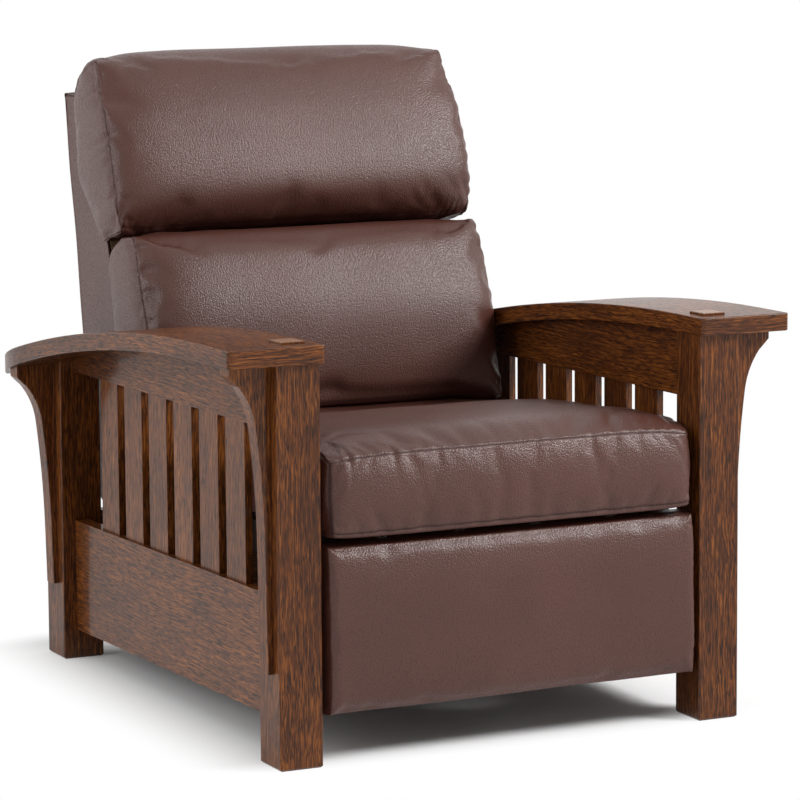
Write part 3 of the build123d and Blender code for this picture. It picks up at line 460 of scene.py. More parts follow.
def readThrees(data, field):
    flat = np.empty(len(data) * 3, np.float32)
    data.foreach_get(field, flat)
    return flat.reshape(-1, 3).astype(float)


def setPoints(mesh, points):
    mesh.vertices.foreach_set("co", points.astype(np.float32).ravel())
    mesh.update()


def raisePoints(mesh, points, relief):
    # Moves every point out along its normal by its relief in mm.
    setPoints(mesh, points + readThrees(mesh.vertex_normals, "vector") * relief[:, None] / 1000)


def applyModifiers(piece):
    shaped = piece.evaluated_get(bpy.context.evaluated_depsgraph_get())
    mesh = bpy.data.meshes.new_from_object(shaped)
    old = piece.data
    piece.modifiers.clear()
    piece.data = mesh
    bpy.data.meshes.remove(old)


def subdivide(piece):
    # Gives back the finer mesh, its points and their shares.
    modifier = piece.modifiers.new("subdivision", "SUBSURF")
    modifier.levels = modifier.render_levels = 1
    applyModifiers(piece)
    mesh = piece.data
    return mesh, readThrees(mesh.vertices, "co"), readThrees(mesh.attributes["place"].data, "vector").T


def thicken(piece, thickness, offset):
    wall = piece.modifiers.new("wall", "SOLIDIFY")
    wall.thickness = thickness / 1000
    wall.offset = offset


clothSetting = {"pressure": 4.0, "frames": 20, "quality": 6, "mass": 0.3}


def inflate(piece, caps, pinned, slack):
    # Blows the shell up as cloth cut larger than the shell by the share slack, with the pinned
    # points held, then limits each point's move along X, Y and Z to its cap in mm.
    start = readThrees(piece.data.vertices, "co")
    cloth = piece.modifiers.new("padding", "CLOTH")
    settings = cloth.settings
    settings.quality = clothSetting["quality"]
    settings.mass = clothSetting["mass"]
    settings.use_pressure = True
    settings.shrink_min = -slack
    settings.uniform_pressure_force = clothSetting["pressure"]
    settings.effector_weights.gravity = 0
    group = piece.vertex_groups.new(name="held")
    group.add(np.nonzero(pinned)[0].tolist(), 1.0, "ADD")
    settings.vertex_group_mass = "held"
    cloth.point_cache.frame_start = 1
    cloth.point_cache.frame_end = clothSetting["frames"]
    for number in range(1, clothSetting["frames"] + 1):
        bpy.context.scene.frame_set(number)
    swollen = piece.evaluated_get(bpy.context.evaluated_depsgraph_get())
    move = readThrees(swollen.data.vertices, "co") - start
    piece.modifiers.remove(cloth)
    piece.vertex_groups.clear()
    bpy.context.scene.frame_set(1)
    caps = np.array(caps) / 1000
    setPoints(piece.data, start + caps * np.tanh(move / caps))


def markSeamShade(mesh, closeness):
    # Stores the closeness as the seam attribute: the share of painted shade that darkens the leather in the
    # seam grooves.
    values = mesh.attributes.new("seam", "FLOAT", "POINT")
    values.data.foreach_set("value", closeness.astype(np.float32))


def bell(distance, width):
    # A smooth hump: 1 at no distance, e^-1 at the width.
    return np.exp(-(distance / width) ** 2)


farAway = 1000.0        # mm, where a seam doesn't reach
stitching = {"rollPlace": 2.6, "rollWidth": 1.3, "ridge": 0.9, "foldSpread": 1.6,
             "foldWidths": (3.0, 6.5), "foldDepths": (0.45, 1.25), "unevenPlaces": (0.15, 0.85)}


def seamRelief(distance, groove, width, welt):
    # How far a seam pulls the leather in, with a raised roll beside it, by distance in mm. The
    # roll's place and width are shares of the seam's width.
    beside = distance - stitching["rollPlace"] * width
    return welt * bell(beside, stitching["rollWidth"] * width) - groove * bell(distance, width)


def puckers(along, distance, folds, reach):
    # Short folds square to a seam, each given by its place, width and depth in mm: a valley
    # (1-0.9u^2)exp(-u^2/1.6) with a ridge on both sides, u widths along, that fades out from the
    # seam as exp(-distance/reach).
    relief = np.zeros(len(along))
    for place, width, depth in folds:
        square = ((along - place) / width) ** 2
        relief -= depth * (1 - stitching["ridge"] * square) * np.exp(-square / stitching["foldSpread"])
    return relief * np.exp(-distance / reach)


def foldSpots(seed, low, high, count, depth):
    # Unevenly spaced folds along a seam from low to high, in mm.
    draw = np.random.default_rng(seed)
    places = np.arange(count) + draw.uniform(*stitching["unevenPlaces"], count)
    widths = draw.uniform(*stitching["foldWidths"], count)
    depths = depth * draw.uniform(*stitching["foldDepths"], count)
    return list(zip(low + (high - low) * places / count, widths, depths))


unevenness = {"waves": 10, "lengths": (0.6, 1.6), "starts": (0, 6.28)}


def slowNoise(points, seed, scale):
    # A smooth unevenness about as deep as 1: ten sine waves in random directions, their lengths
    # near the scale in metres.
    draw = np.random.default_rng(seed)
    total = np.zeros(len(points))
    for _ in range(unevenness["waves"]):
        direction = draw.normal(size=3)
        direction /= np.linalg.norm(direction)
        length = scale * draw.uniform(*unevenness["lengths"])
        start = draw.uniform(*unevenness["starts"])
        total += np.sin(points @ direction * 2 * math.pi / length + start)
    return total / math.sqrt(unevenness["waves"])


# Pillows: a side outline where the boxing is sewn in, and a fuller outline in the middle


curveSteps = {"span": 24, "strip": 1201}      # points on a span of an outline and across a strip


def smoothLoop(sides):
    # A Catmull-Rom curve through the closed chain of points, cut at the first point of each side.
    chain = np.array([point for side in sides for point in side], float)
    count = len(chain)
    steps = np.linspace(0, 1, curveSteps["span"], endpoint=False)[:, None]
    spans = []
    for i in range(count):
        a, b, c, d = chain[i - 1], chain[i], chain[(i + 1) % count], chain[(i + 2) % count]
        spans.append(0.5 * (2 * b + (c - a) * steps + (2 * a - 5 * b + 4 * c - d) * steps ** 2
                            + (3 * b - a - 3 * c + d) * steps ** 3))
    curves = []
    first = 0
    for side in sides:
        last = first + len(side)
        curves.append(np.concatenate(spans[first:last] + [chain[last % count][None]]))
        first = last
    front, top, rear, bottom = curves
    return {"front": front, "top": top, "rear": rear[::-1], "bottom": bottom[::-1]}


def lengthAlong(curve):
    # How far each point of a curve lies from its start, along it.
    return np.concatenate([[0], np.cumsum(np.linalg.norm(np.diff(curve, axis=0), axis=1))])


def alongCurve(curve, share):
    # Points at shares of the curve's length.
    length = lengthAlong(curve)
    return np.stack([np.interp(share * length[-1], length, line) for line in curve.T], axis=1)


def acrossStrip(share, halfWidth, depth, power):
    # A strip that swells between two seams: x is from -1 to 1 and the swell (1-|x|^power)^0.5,
    # with the share measured along the strip itself.
    x = np.sin(np.linspace(-math.pi / 2, math.pi / 2, curveSteps["strip"]))
    swell = np.sqrt(np.clip(1 - np.abs(x) ** power, 0, 1))
    length = np.concatenate([[0], np.cumsum(np.hypot(np.diff(x) * halfWidth, np.diff(swell) * depth))])
    want = share * length[-1]
    return np.interp(want, length, x), np.interp(want, length, swell), length[-1]


def onOutline(loop, t, r):
    # Points of a loop for places on its four sides: t runs front to rear and r bottom to top.
    yz = np.zeros((len(t), 2))
    sides = {"bottom": (atLow(r), t), "top": (atHigh(r), t), "front": (atLow(t), r), "rear": (atHigh(t), r)}
    for side, (chosen, share) in sides.items():
        yz[chosen] = alongCurve(loop[side], share[chosen])
    return yz


def insideOutline(loop, t, r):
    # A Coons patch: the two pairs of opposite sides, each blended, less the blend of the corners.
    front, rear = alongCurve(loop["front"], r), alongCurve(loop["rear"], r)
    bottom, top = alongCurve(loop["bottom"], t), alongCurve(loop["top"], t)
    t, r = t[:, None], r[:, None]
    corners = [loop["front"][0], loop["rear"][0], loop["front"][-1], loop["rear"][-1]]
    flat = (1 - r) * ((1 - t) * corners[0] + t * corners[1]) + r * ((1 - t) * corners[2] + t * corners[3])
    return (1 - t) * front + t * rear + (1 - r) * bottom + r * top - flat


pillowMaking = {
    "gather": (0.55, 0.35, 0.35), "lessBehind": 0.7, "seamWidth": 1.8, "welt": 0.4, "hemDepth": 0.8,
    "hemWidth": 1.6, "plainFrom": 0.75, "plainOver": 0.2, "foldsTo": 0.5, "uneven": 0.8,
    "unevenScale": 0.22, "shadeWidth": 1.2, "hemShade": 0.5,
}


def pillowShell(pillow):
    # Both ends have the seam outline, and the strip between them swells to the middle outline. The
    # strip is wider by sin(pi r^low), less so behind, and the ends swell by a root of two sines.
    (s, t, r), faces = gatheredShell(pillow["cells"], pillowMaking["gather"])
    seamLoop, middleLoop = smoothLoop(pillow["seam"]), smoothLoop(pillow["middle"])
    x, swell, stripLength = acrossStrip(s, pillow["halfWidth"], pillow["swell"], pillow["power"])
    wider = pillow["widen"] * np.sin(math.pi * r ** pillow["low"]) * (1 - pillowMaking["lessBehind"] * t)
    points = np.zeros((len(s), 3))
    points[:, 0] = x * (pillow["halfWidth"] + wider)
    rim = onEnds(t) | onEnds(r)
    seam, middle = (onOutline(loop, t[rim], r[rim]) for loop in (seamLoop, middleLoop))
    points[rim, 1:] = seam + swell[rim, None] * (middle - seam)
    side = ~rim
    points[side, 1:] = insideOutline(seamLoop, t[side], r[side])
    cheek = np.sqrt(np.sin(math.pi * t[side]) * np.sin(math.pi * r[side]))
    points[side, 0] += np.sign(x[side]) * pillow["cheek"] * cheek
    lengths = [stripLength] + [lengthAlong(seamLoop[line])[-1] for line in ("top", "front")]
    return points, faces, (s, t, r), lengths


def makePillow(name, pillow, node, body):
    # The seams run round both ends. Folds start from them in front and on top, and a hem with its
    # own folds crosses the front near its foot; the rear lies flat and stays plain.
    making = pillowMaking
    points, faces, (s, t, r), (strip, top, front) = pillowShell(pillow)
    piece = leatherPiece(name, points, faces, (s, t, r))
    seams = onEnds(s) & (onEnds(t) | onEnds(r))
    inflate(piece, pillow["caps"], seams | atHigh(t), slack=pillow["slack"])
    mesh, spot, (s, t, r) = subdivide(piece)
    onFront, onTop, height = atLow(t), atHigh(r), r * front
    inward = np.minimum(toEnds(t, top), toEnds(r, front))
    distance = np.where(onEnds(s), inward, toEnds(s, strip))
    along = np.where(onTop, front + t * top, height)
    plain = np.clip((t - making["plainFrom"]) / making["plainOver"], 0, 1) * ~onTop
    hem = np.where(onFront, np.abs(height - pillow["hem"]), farAway)
    relief = seamRelief(distance, pillow["groove"], making["seamWidth"], making["welt"]) * (1 - plain)
    relief -= making["hemDepth"] * bell(hem, making["hemWidth"])
    folded = onTop | (t <= making["foldsTo"])
    for folds, here in ((pillow["leftFolds"], s < 0.5), (pillow["rightFolds"], s > 0.5)):
        relief += puckers(along, distance, folds, pillow["foldReach"]) * (here & folded)
    relief += puckers(spot[:, 0] * 1000, height, pillow["hemFolds"], pillow["foldReach"]) * onFront
    relief += making["uneven"] * slowNoise(spot, pillow["seed"], making["unevenScale"])
    raisePoints(mesh, spot, relief)
    # Painted shade: the seams, and the hem at a lower share, darken the leather.
    seamShade, hemShade = bell(distance, making["shadeWidth"]), bell(hem, making["shadeWidth"])
    markSeamShade(mesh, np.maximum(seamShade * (1 - plain), making["hemShade"] * hemShade))
    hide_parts(node)
    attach(piece, body)
    print(name, len(mesh.polygons), "faces")


# Outlines are places in mm from front to rear and up, from the foot of the front round over the top.
# Each fold has its place along the seam, its width and its depth in mm.
headPillow = {
    "cells": (84, 18, 44), "halfWidth": 284.0, "widen": 9.5, "low": 0.65, "cheek": 2.0, "swell": 26.0,
    "power": 5.5,
    "seam": [[(268, 664), (267, 684), (269, 702), (273, 720), (278, 740), (287, 770), (297, 800),
              (310, 830), (330, 860), (343, 883), (352, 903)],
             [(366, 907), (388, 900), (412, 886)],
             [(434, 868), (441, 848), (437, 801), (426, 737), (402, 706), (379, 682), (358, 658)],
             [(342, 642), (306, 652)]],
    "middle": [[(286, 658), (266, 669), (254, 687), (250, 710), (254, 738), (266, 772), (281, 804),
                (298, 836), (319, 868), (338, 892), (354, 909)],
               [(374, 920), (400, 924), (422, 917)],
               [(438, 900), (442, 850), (437, 801), (426, 737), (402, 706), (379, 682), (358, 658)],
               [(342, 644), (302, 650)]],
    "caps": (4.0, 7.0, 5.0), "slack": 0.03, "groove": 1.5, "fill": 0.8, "seed": 11,
    "leftFolds": [(24, 5, 1.6), (54, 5, 1.4), (124, 4, 1.6), (142, 6, 2.6), (218, 4, 1.8),
                  (262, 5, 1.6), (280, 4, 1.4)],
    "rightFolds": [(26, 5, 2.0), (47, 6, 2.4), (100, 5, 1.8), (207, 4, 1.8), (240, 4, 1.4),
                   (270, 5, 1.6)],
    "foldReach": 17.0, "hem": 7.0,
    "hemFolds": [(-262, 5, 2.0), (-236, 6, 1.4), (247, 4, 1.6), (256, 4, 2.0), (266, 4, 1.6)],
}
lumbarPillow = {
    "cells": (84, 20, 44), "halfWidth": 281.0, "widen": 3.8, "low": 1.3, "cheek": 2.0, "swell": 24.0,
    "power": 5.0,
    "seam": [[(148, 392), (161, 440), (174, 490), (184, 534), (198, 570), (211, 600), (222, 632)],
             [(238, 655), (285, 646)],
             [(326, 618), (326, 592), (315, 556), (309, 518)],
             [(298, 388), (240, 390)]],
    "middle": [[(150, 394), (144, 437), (149, 500), (159, 550), (177, 594), (201, 634)],
               [(235, 662), (285, 657)],
               [(330, 638), (326, 592), (315, 556), (309, 518)],
               [(298, 389), (240, 391)]],
    "caps": (3.0, 7.0, 5.0), "slack": 0.03, "groove": 1.5, "fill": 0.75, "seed": 23,
    "leftFolds": [(60, 5, 1.0), (130, 5, 1.2), (196, 5, 1.6), (226, 5, 1.6), (262, 5, 1.8)],
    "rightFolds": [(90, 5, 1.0), (170, 5, 1.0), (235, 5, 1.6), (262, 5, 1.8)],
    "foldReach": 14.0, "hem": 7.0, "hemFolds": [],
}
makePillow("headPillow", headPillow, "head_pillow", "back")
makePillow("lumbarPillow", lumbarPillow, "lumbar_pillow", "back")

# Seat cushion: a box cushion, its top crowned and its front border sewn in all round
seatCushion = {
    "cells": (88, 84, 20), "gather": (0.6, 0.6, 0.4), "halfWidth": 280.0, "front": -406.0, "rear": 268.0,
    "bottom": 305.0, "footRise": 4.0, "height": 112.0, "corner": 3.5, "cornerWidth": 10.0,
    "cornerFade": 30.0, "sideSwell": 2.0, "frontSwell": 3.0, "lean": 10.0, "tuck": 5.0, "tuckHeight": 9.0,
    "sideLine": [(-405, 408), (-398, 413), (-383, 418.5), (-333, 422), (-251, 416), (-167, 410.5),
                 (12, 395), (150, 386), (268, 382)],
    "crownLine": [(-405, 9), (-297, 15), (-68, 12.5), (160, 2), (268, 0)],
    "borderSeam": 7.0, "groove": 1.5, "seamWidth": 1.7, "welt": 0.15, "shadeWidth": 1.2,
    "frontFolds": [(32, 5, 2.4), (99, 5, 2.2), (166, 6, 0.8), (317, 6, 1.2), (403, 5, 2.2), (475, 6, 1.4)],
    "sideFolds": [(70, 6, 1.2), (180, 6, 1.0), (330, 7, 1.2), (470, 7, 1.0)], "foldReach": 13.0,
    "foldsTo": 0.3, "uneven": 0.7, "unevenScale": 0.2, "unevenFrom": 0.02, "seed": 50,
    "caps": (3.0, 5.0, 6.0), "slack": 0.02, "fill": 0.75,
}
fitScale = 400.0        # keeps the fitted lines' powers small


def fitted(line, degree):
    # A polynomial through the points of a line, as a function of their first coordinate.
    line = np.array(line, float)
    factors = np.polyfit(line[:, 0] / fitScale, line[:, 1], degree)
    return lambda place: np.polyval(factors, place / fitScale)


def seatShell(seat):
    # A box whose top follows the side line along both sides and swells by the crown line between
    # them as 1-x^6, and whose foot rises as x^12. Its front leans out towards the foot, is tucked in
    # there and has rounded corners; front and rear bulge as (1-x^6)sin(pi r), sides as sin(pi r).
    (s, t, r), faces = gatheredShell(seat["cells"], seat["gather"])
    x, y = 2 * s - 1, 2 * t - 1
    crown, bulge = 1 - x ** 6, np.sin(math.pi * r)
    along = seat["front"] + (seat["rear"] - seat["front"]) * t
    top = fitted(seat["sideLine"], 6)(along) + fitted(seat["crownLine"], 4)(along) * crown
    low = seat["bottom"] + seat["footRise"] * x ** 12
    z = low + (top - low) * r
    gaps = (toEnds(s, 2 * seat["halfWidth"]), along - seat["front"])
    bySide, byFront = [np.clip(1 - gap / seat["cornerWidth"], 0, 1) ** 2 for gap in gaps]
    sideFade, frontFade = [np.clip(1 - gap / seat["cornerFade"], 0, 1) for gap in gaps]
    tuck = seat["tuck"] * np.clip(1 - (z - low) / seat["tuckHeight"], 0, 1) ** 1.5
    depth = along + (tuck - seat["lean"] * (1 - r)) * atLow(t) + seat["corner"] * bySide * frontFade
    depth += seat["frontSwell"] * y * crown * bulge * onEnds(t)
    across = seat["halfWidth"] * x - np.sign(x) * seat["corner"] * byFront * sideFade
    across += seat["sideSwell"] * x * bulge * onEnds(s)
    return np.stack([across, depth, z], axis=1), faces, (s, t, r)


def makeSeat(seat):
    # Seams run along every edge but the lower ones, and one crosses the front border near its foot.
    points, faces, shares = seatShell(seat)
    piece = leatherPiece("seatCushion", points, faces, shares)
    edges = sum(onEnds(share).astype(int) for share in shares) >= 2
    inflate(piece, seat["caps"], edges | atLow(shares[2]), slack=seat["slack"])
    mesh, spot, (s, t, r) = subdivide(piece)
    width, length = 2 * seat["halfWidth"], seat["rear"] - seat["front"]
    fromSide, fromEnd, fromTop = toEnds(s, width), toEnds(t, length), (1 - r) * seat["height"]
    onTop, onFront, onSide, onEnd = atHigh(r), atLow(t), onEnds(s), onEnds(t)
    endSeam = np.where(onTop, fromEnd, np.where(onEnd, fromTop, farAway))
    sideSeam = np.where(onTop, fromSide, np.where(onSide, fromTop, farAway))
    cornerSeam = np.where(onEnd, fromSide, np.where(onSide, fromEnd, farAway))
    borderSeam = np.where(onFront, np.abs(r * seat["height"] - seat["borderSeam"]), farAway)
    distance = np.minimum.reduce([endSeam, sideSeam, cornerSeam, borderSeam])
    inFront = (onTop & (t < seat["foldsTo"])) | onFront
    relief = seamRelief(distance, seat["groove"], seat["seamWidth"], seat["welt"])
    relief += puckers(s * width, endSeam, seat["frontFolds"], seat["foldReach"]) * inFront
    relief += puckers(t * length, sideSeam, seat["sideFolds"], seat["foldReach"]) * (onTop | onSide)
    uneven = seat["uneven"] * slowNoise(spot, seat["seed"], seat["unevenScale"])
    raisePoints(mesh, spot, relief + uneven * (r > seat["unevenFrom"]))
    # Painted shade darkens the leather along the seams.
    markSeamShade(mesh, bell(distance, seat["shadeWidth"]))
    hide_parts("seat_cushion")
    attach(piece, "seat")
    print("seatCushion", len(mesh.polygons), "faces")


makeSeat(seatCushion)

# Footrest panel: leather over padding, wrapped round the edges and hollow behind for its board
footrestPanel = {
    "cells": (72, 10, 34), "gather": (0.6, 0.0, 0.6), "halfWidth": 285.0, "bottom": 67.5, "top": 297.5,
    "rear": -368.2, "tilt": 1.5, "swell": 2.0, "corner": 1.5, "cornerPower": 2.5,
    "frontLine": [(72, -413), (80, -415.5), (140, -417), (200, -416.5), (250, -413.5), (290, -409),
                  (297, -407)],
    "hollow": 12.6, "hollowHalf": 262.5, "hollowLow": 83.5, "hollowHigh": 285.5,
    "caps": (2.0, 3.0, 2.0), "slack": 0.01, "padded": 0.5, "folded": 0.6, "fill": 0.6,
    "uneven": 0.5, "unevenScale": 0.2, "seed": 61, "foldSeeds": (63, 64), "foldCount": 7,
    "foldDepth": 0.6, "foldReach": 7.0, "foldMargin": 10.0,
}


def makeFootrest(panel):
    # A thin box whose front follows the front line up, swells as (1-x^6)(1-z^4) and has a rounded
    # rim and a lower edge a little out of level; its rear steps in where the board lies.
    (s, t, r), faces = gatheredShell(panel["cells"], panel["gather"])
    x, z = 2 * s - 1, 2 * r - 1
    width, length = 2 * panel["halfWidth"], panel["top"] - panel["bottom"]
    rim = panel["corner"] * (1 - t) ** panel["cornerPower"]
    across = x * (panel["halfWidth"] - rim)
    height = panel["bottom"] + length / 2 + z * (length / 2 - rim) + panel["tilt"] * x * (1 - r)
    front = fitted(panel["frontLine"], 4)(height)
    depth = front + (panel["rear"] - front) * t
    depth -= panel["swell"] * (1 - x ** 6) * (1 - z ** 4) * atLow(t)
    inHollow = (height > panel["hollowLow"]) & (height < panel["hollowHigh"])
    depth -= panel["hollow"] * (atHigh(t) & inHollow & (np.abs(across) < panel["hollowHalf"]))
    piece = leatherPiece("footrestPanel", np.stack([across, depth, height], axis=1), faces, (s, t, r))
    inflate(piece, panel["caps"], t >= panel["padded"], slack=panel["slack"])
    mesh, spot, (s, t, r) = subdivide(piece)
    facing = t < panel["folded"]
    fromEdge = np.minimum(toEnds(s, width), toEnds(r, length))
    relief = panel["uneven"] * slowNoise(spot, panel["seed"], panel["unevenScale"]) * facing
    last = length - panel["foldMargin"]
    for seed, here in zip(panel["foldSeeds"], (s <= 0.5, s > 0.5)):
        folds = foldSpots(seed, panel["foldMargin"], last, panel["foldCount"], panel["foldDepth"])
        relief += puckers(r * length, fromEdge, folds, panel["foldReach"]) * (facing & here)
    raisePoints(mesh, spot, relief)
    markSeamShade(mesh, np.zeros(len(s)))
    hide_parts("footrest_pad")
    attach(piece, "footrest")
    print("footrestPanel", len(mesh.polygons), "faces")


makeFootrest(footrestPanel)

# Back cover: leather over both side panels, the top and the rear, open below and, above the apron,
# in front
backCover = {
    "cells": (60, 22, 64), "gather": (0.6, 0.5, 0.0), "halfWidth": 280.0, "depth": 100.0,
    "front": [(285, 240), (285, 265), (312, 520), (338, 640), (428, 742), (442, 853)],
    "rear": [(403.9, 240), (495, 853)], "low": [(285, 240), (357, 240), (407.6, 265)], "apron": 425.0,
    "thickness": 3.0, "groove": 1.2, "seamWidth": 1.8, "welt": 0.5, "shadeWidth": 1.6, "inset": 0.5,
    "uneven": 0.8, "unevenScale": 0.2, "seed": 71,
}


def makeCover(cover):
    # Side profile between the front line and the rear line, straight across the chair, down to the
    # low line.
    (s, t, r), faces = gatheredShell(cover["cells"], cover["gather"])
    front, rear, low = (np.array(cover[line], float) for line in ("front", "rear", "low"))
    foot, top = front[0, 1], front[-1, 1]
    hem = np.interp(low[0, 0] + (low[-1, 0] - low[0, 0]) * t, low[:, 0], low[:, 1])
    z = hem + (top - hem) * r
    yFront, yRear = (np.interp(z, line[:, 1], line[:, 0]) for line in (front, rear))
    points = np.stack([(2 * s - 1) * cover["halfWidth"], yFront + (yRear - yFront) * t, z], axis=1)
    left = (atLow(t) & (z > cover["apron"]))[faces].all(axis=1) | atLow(r)[faces].all(axis=1)
    used, faces = np.unique(faces[~left], return_inverse=True)
    piece = leatherPiece("backCover", points[used], faces.reshape(-1, 4), (s[used], t[used], r[used]))
    mesh, spot, (s, t, r) = subdivide(piece)
    onTop = atHigh(r)
    fromSide, fromRear = toEnds(s, 2 * cover["halfWidth"]), (1 - t) * cover["depth"]
    rearSeam = np.where(onEnds(s), fromRear, np.where(onTop, farAway, fromSide))
    topSeam = np.where(onTop, np.minimum(fromSide, fromRear), (1 - r) * (top - foot))
    distance = np.minimum(rearSeam, topSeam)
    relief = seamRelief(distance, cover["groove"], cover["seamWidth"], cover["welt"]) - cover["inset"]
    relief += cover["uneven"] * slowNoise(spot, cover["seed"], cover["unevenScale"])
    raisePoints(mesh, spot, relief)
    # Painted shade darkens the leather along the seams.
    markSeamShade(mesh, bell(distance, cover["shadeWidth"]))
    thicken(piece, cover["thickness"], -1.0)
    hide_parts("back_cover")
    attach(piece, "back")
    print("backCover", len(mesh.polygons), "faces")


makeCover(backCover)

# Deck cloth over the springs, and webbing across the back
deckCloth = {"cells": (60, 66), "sag": 1.0, "thickness": 1.6}


def makeDeck(deck):
    # A flat sheet from rail to rail that dips by a sine each way between them.
    low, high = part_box("seat_deck")
    across, down, faces = sheetGrid(deck["cells"])
    dip = deck["sag"] / 1000 * np.sin(math.pi * across) * np.sin(math.pi * down)
    x = low.x + (high.x - low.x) * across
    y = low.y + (high.y - low.y) * down
    z = high.z - (high.z - low.z) * down - deck["thickness"] / 2000 - dip
    piece = smoothPiece("deckCloth", np.stack([x, y, z], axis=1), faces, "felt")
    thicken(piece, deck["thickness"], 0.0)
    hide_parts("seat_deck")
    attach(piece, "seat")


makeDeck(deckCloth)

backWebbing = {"cells": (48, 6), "lows": (325.0, 397.0, 469.0, 542.0, 742.0), "width": 50.0,
               "half": 254.5, "inside": 4.0, "bow": 4.0, "thickness": 1.6}


def makeWebbing(webbing):
    # Each strap is a strip across the back, inside its front line, that bows back by a sine between
    # the side panels.
    front = np.array(backCover["front"], float)
    across, up, cells = sheetGrid(webbing["cells"])
    bow = webbing["inside"] + webbing["bow"] * np.sin(math.pi * across)
    points, faces = [], []
    for number, low in enumerate(webbing["lows"]):
        z = low + webbing["width"] * up
        y = np.interp(z, front[:, 1], front[:, 0]) + bow
        points.append(np.stack([(2 * across - 1) * webbing["half"], y, z], axis=1))
        faces.append(cells + number * len(across))
    points, faces = standChair(np.concatenate(points)), np.concatenate(faces)
    piece = smoothPiece("backWebbing", points, faces, "webbing")
    thicken(piece, webbing["thickness"], 0.0)
    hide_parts("back_webbing")
    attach(piece, "back")


makeWebbing(backWebbing)
print("soft pieces done")

# Camera where the photograph was taken from, given in the chair's own level frame
photoCamera = {"place": (-2532.328, -5049.514, 1212.157), "azimuth": -26.9426, "elevation": 7.9293,
               "roll": -0.3899, "focalPixels": 3941.365, "imagePixels": 800, "sensor": 36.0,
               "clip": (0.1, 60)}


def placeCamera(view):
    # Azimuth and elevation turn the view about the chair, roll about its own line of sight.
    a, e, k = (math.radians(view[key]) for key in ("azimuth", "elevation", "roll"))
    back = np.array([math.sin(a) * math.cos(e), -math.cos(a) * math.cos(e), math.sin(e)])
    level = np.array([math.cos(a), math.sin(a), 0.0])
    upright = np.cross(level, -back)
    right = math.cos(k) * level + math.sin(k) * upright
    up = math.cos(k) * upright - math.sin(k) * level
    turn = Matrix.Rotation(-math.radians(chairStance["lean"]), 3, "X")
    axes = Matrix([turn @ Vector(v) for v in (right, up, back)]).transposed()
    spot = standChair(np.array([view["place"]]))[0]
    lens = bpy.data.cameras.new("photoCamera")
    lens.sensor_width = view["sensor"]
    lens.lens = view["focalPixels"] * view["sensor"] / view["imagePixels"]
    lens.clip_start, lens.clip_end = view["clip"]
    camera = linked("photoCamera", lens)
    camera.matrix_world = Matrix.Translation(Vector(spot)) @ axes.to_4x4()
    bpy.context.scene.camera = camera


placeCamera(photoCamera)

# Studio: white floor that keeps the shadow near the chair, white surroundings, soft lamps
studio = {
    "floorHalf": 9.0, "floorTone": 0.94, "frontWorld": 0.27, "rearWorld": 0.75, "worldEdges": (-0.35, 0.55),
    "middle": (0.0, 0.01), "core": (0.27, 0.39), "fade": (0.2, 0.1),
    "lamps": [
        {"name": "keyLamp", "place": (3.0, -2.4, 3.0), "aim": (0, 0, 0.5), "size": 1.9, "watts": 205},
        {"name": "leftLamp", "place": (-3.9, 0.3, 1.8), "aim": (0, 0, 0.45), "size": 2.4, "watts": 58},
        {"name": "topLamp", "place": (0.4, 0.7, 3.6), "aim": (0, 0, 0.4), "size": 2.2, "watts": 4},
    ],
}


def lookedAt(paint):
    # 1 on rays from the camera, mirrored ones and those that pass through, 0 on the rest.
    rays = [paint.add("ShaderNodeLightPath", out=out) for out in (0, 3, 6)]
    return paint.math("MINIMUM", rays[0] + rays[1] + rays[2], 1.0)


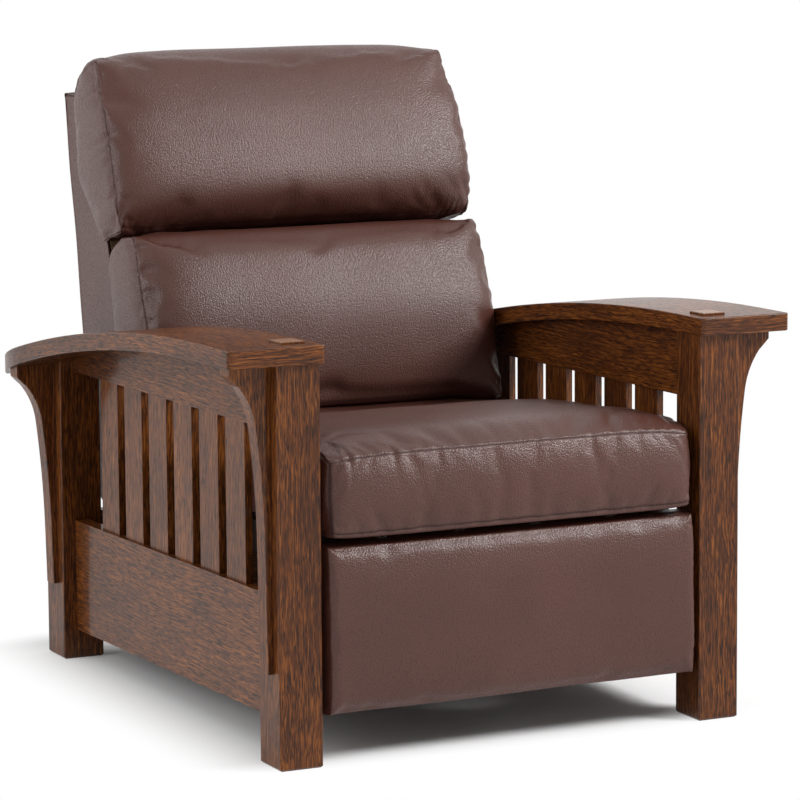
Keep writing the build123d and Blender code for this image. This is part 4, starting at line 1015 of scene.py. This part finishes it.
def makeFloor(room):
    # Plain near the chair; beyond a rectangle round it, the core, it fades to white.
    half = room["floorHalf"]
    corners = [(-half, -half, 0), (half, -half, 0), (half, half, 0), (-half, half, 0)]
    mesh = bpy.data.meshes.new("studioFloor")
    mesh.from_pydata(corners, [], [(0, 1, 2, 3)])
    floor = linked("studioFloor", mesh)
    paint = newPaint("studioFloor")
    outside = []
    for i, place in enumerate(paint.axes(paint.place())[:2]):
        size = paint.math("ABSOLUTE", place - room["middle"][i])
        outside.append(paint.math("MAXIMUM", size - room["core"][i]) / room["fade"][i])
    far = paint.between((outside[0] * outside[0] + outside[1] * outside[1]) ** 0.5, 0.0, 1.0)
    lit = paint.add("ShaderNodeBsdfDiffuse", inputs={"Color": (*[room["floorTone"]] * 3, 1)})
    white = paint.add("ShaderNodeEmission", inputs={"Color": (1, 1, 1, 1), "Strength": 1.0})
    surface = paint.add("ShaderNodeMixShader", inputs={0: lookedAt(paint) * far, 1: lit, 2: white})
    paint.add("ShaderNodeOutputMaterial", inputs={"Surface": surface})
    mesh.materials.append(paint.owner)


def makeWorld(room):
    # White behind everything that is looked at, mirrored or seen through; a softer light that grows
    # from the front to the rear falls on the rest.
    bpy.context.scene.world = bpy.data.worlds.new("studioWorld")
    paint = Paint(bpy.context.scene.world)
    way = paint.axes(paint.add("ShaderNodeTexCoord"))
    level = paint.between(way[1], *room["worldEdges"], room["frontWorld"], room["rearWorld"])
    soft = paint.add("ShaderNodeBackground", inputs={"Color": (1, 1, 1, 1), "Strength": level})
    white = paint.add("ShaderNodeBackground", inputs={"Color": (1, 1, 1, 1), "Strength": 1.0})
    surface = paint.add("ShaderNodeMixShader", inputs={0: lookedAt(paint), 1: soft, 2: white})
    paint.add("ShaderNodeOutputWorld", inputs={"Surface": surface})


def makeLamps(room):
    for lamp in room["lamps"]:
        light = bpy.data.lights.new(lamp["name"], "AREA")
        light.shape = "DISK"
        light.size = lamp["size"]
        light.energy = lamp["watts"]
        spot, aim = Vector(lamp["place"]), Vector(lamp["aim"])
        turn = (aim - spot).to_track_quat("-Z", "Y").to_matrix().to_4x4()
        linked(lamp["name"], light).matrix_world = Matrix.Translation(spot) @ turn


makeFloor(studio)
makeWorld(studio)
makeLamps(studio)
bpy.context.scene.view_settings.view_transform = "Standard"

print("scene ready")
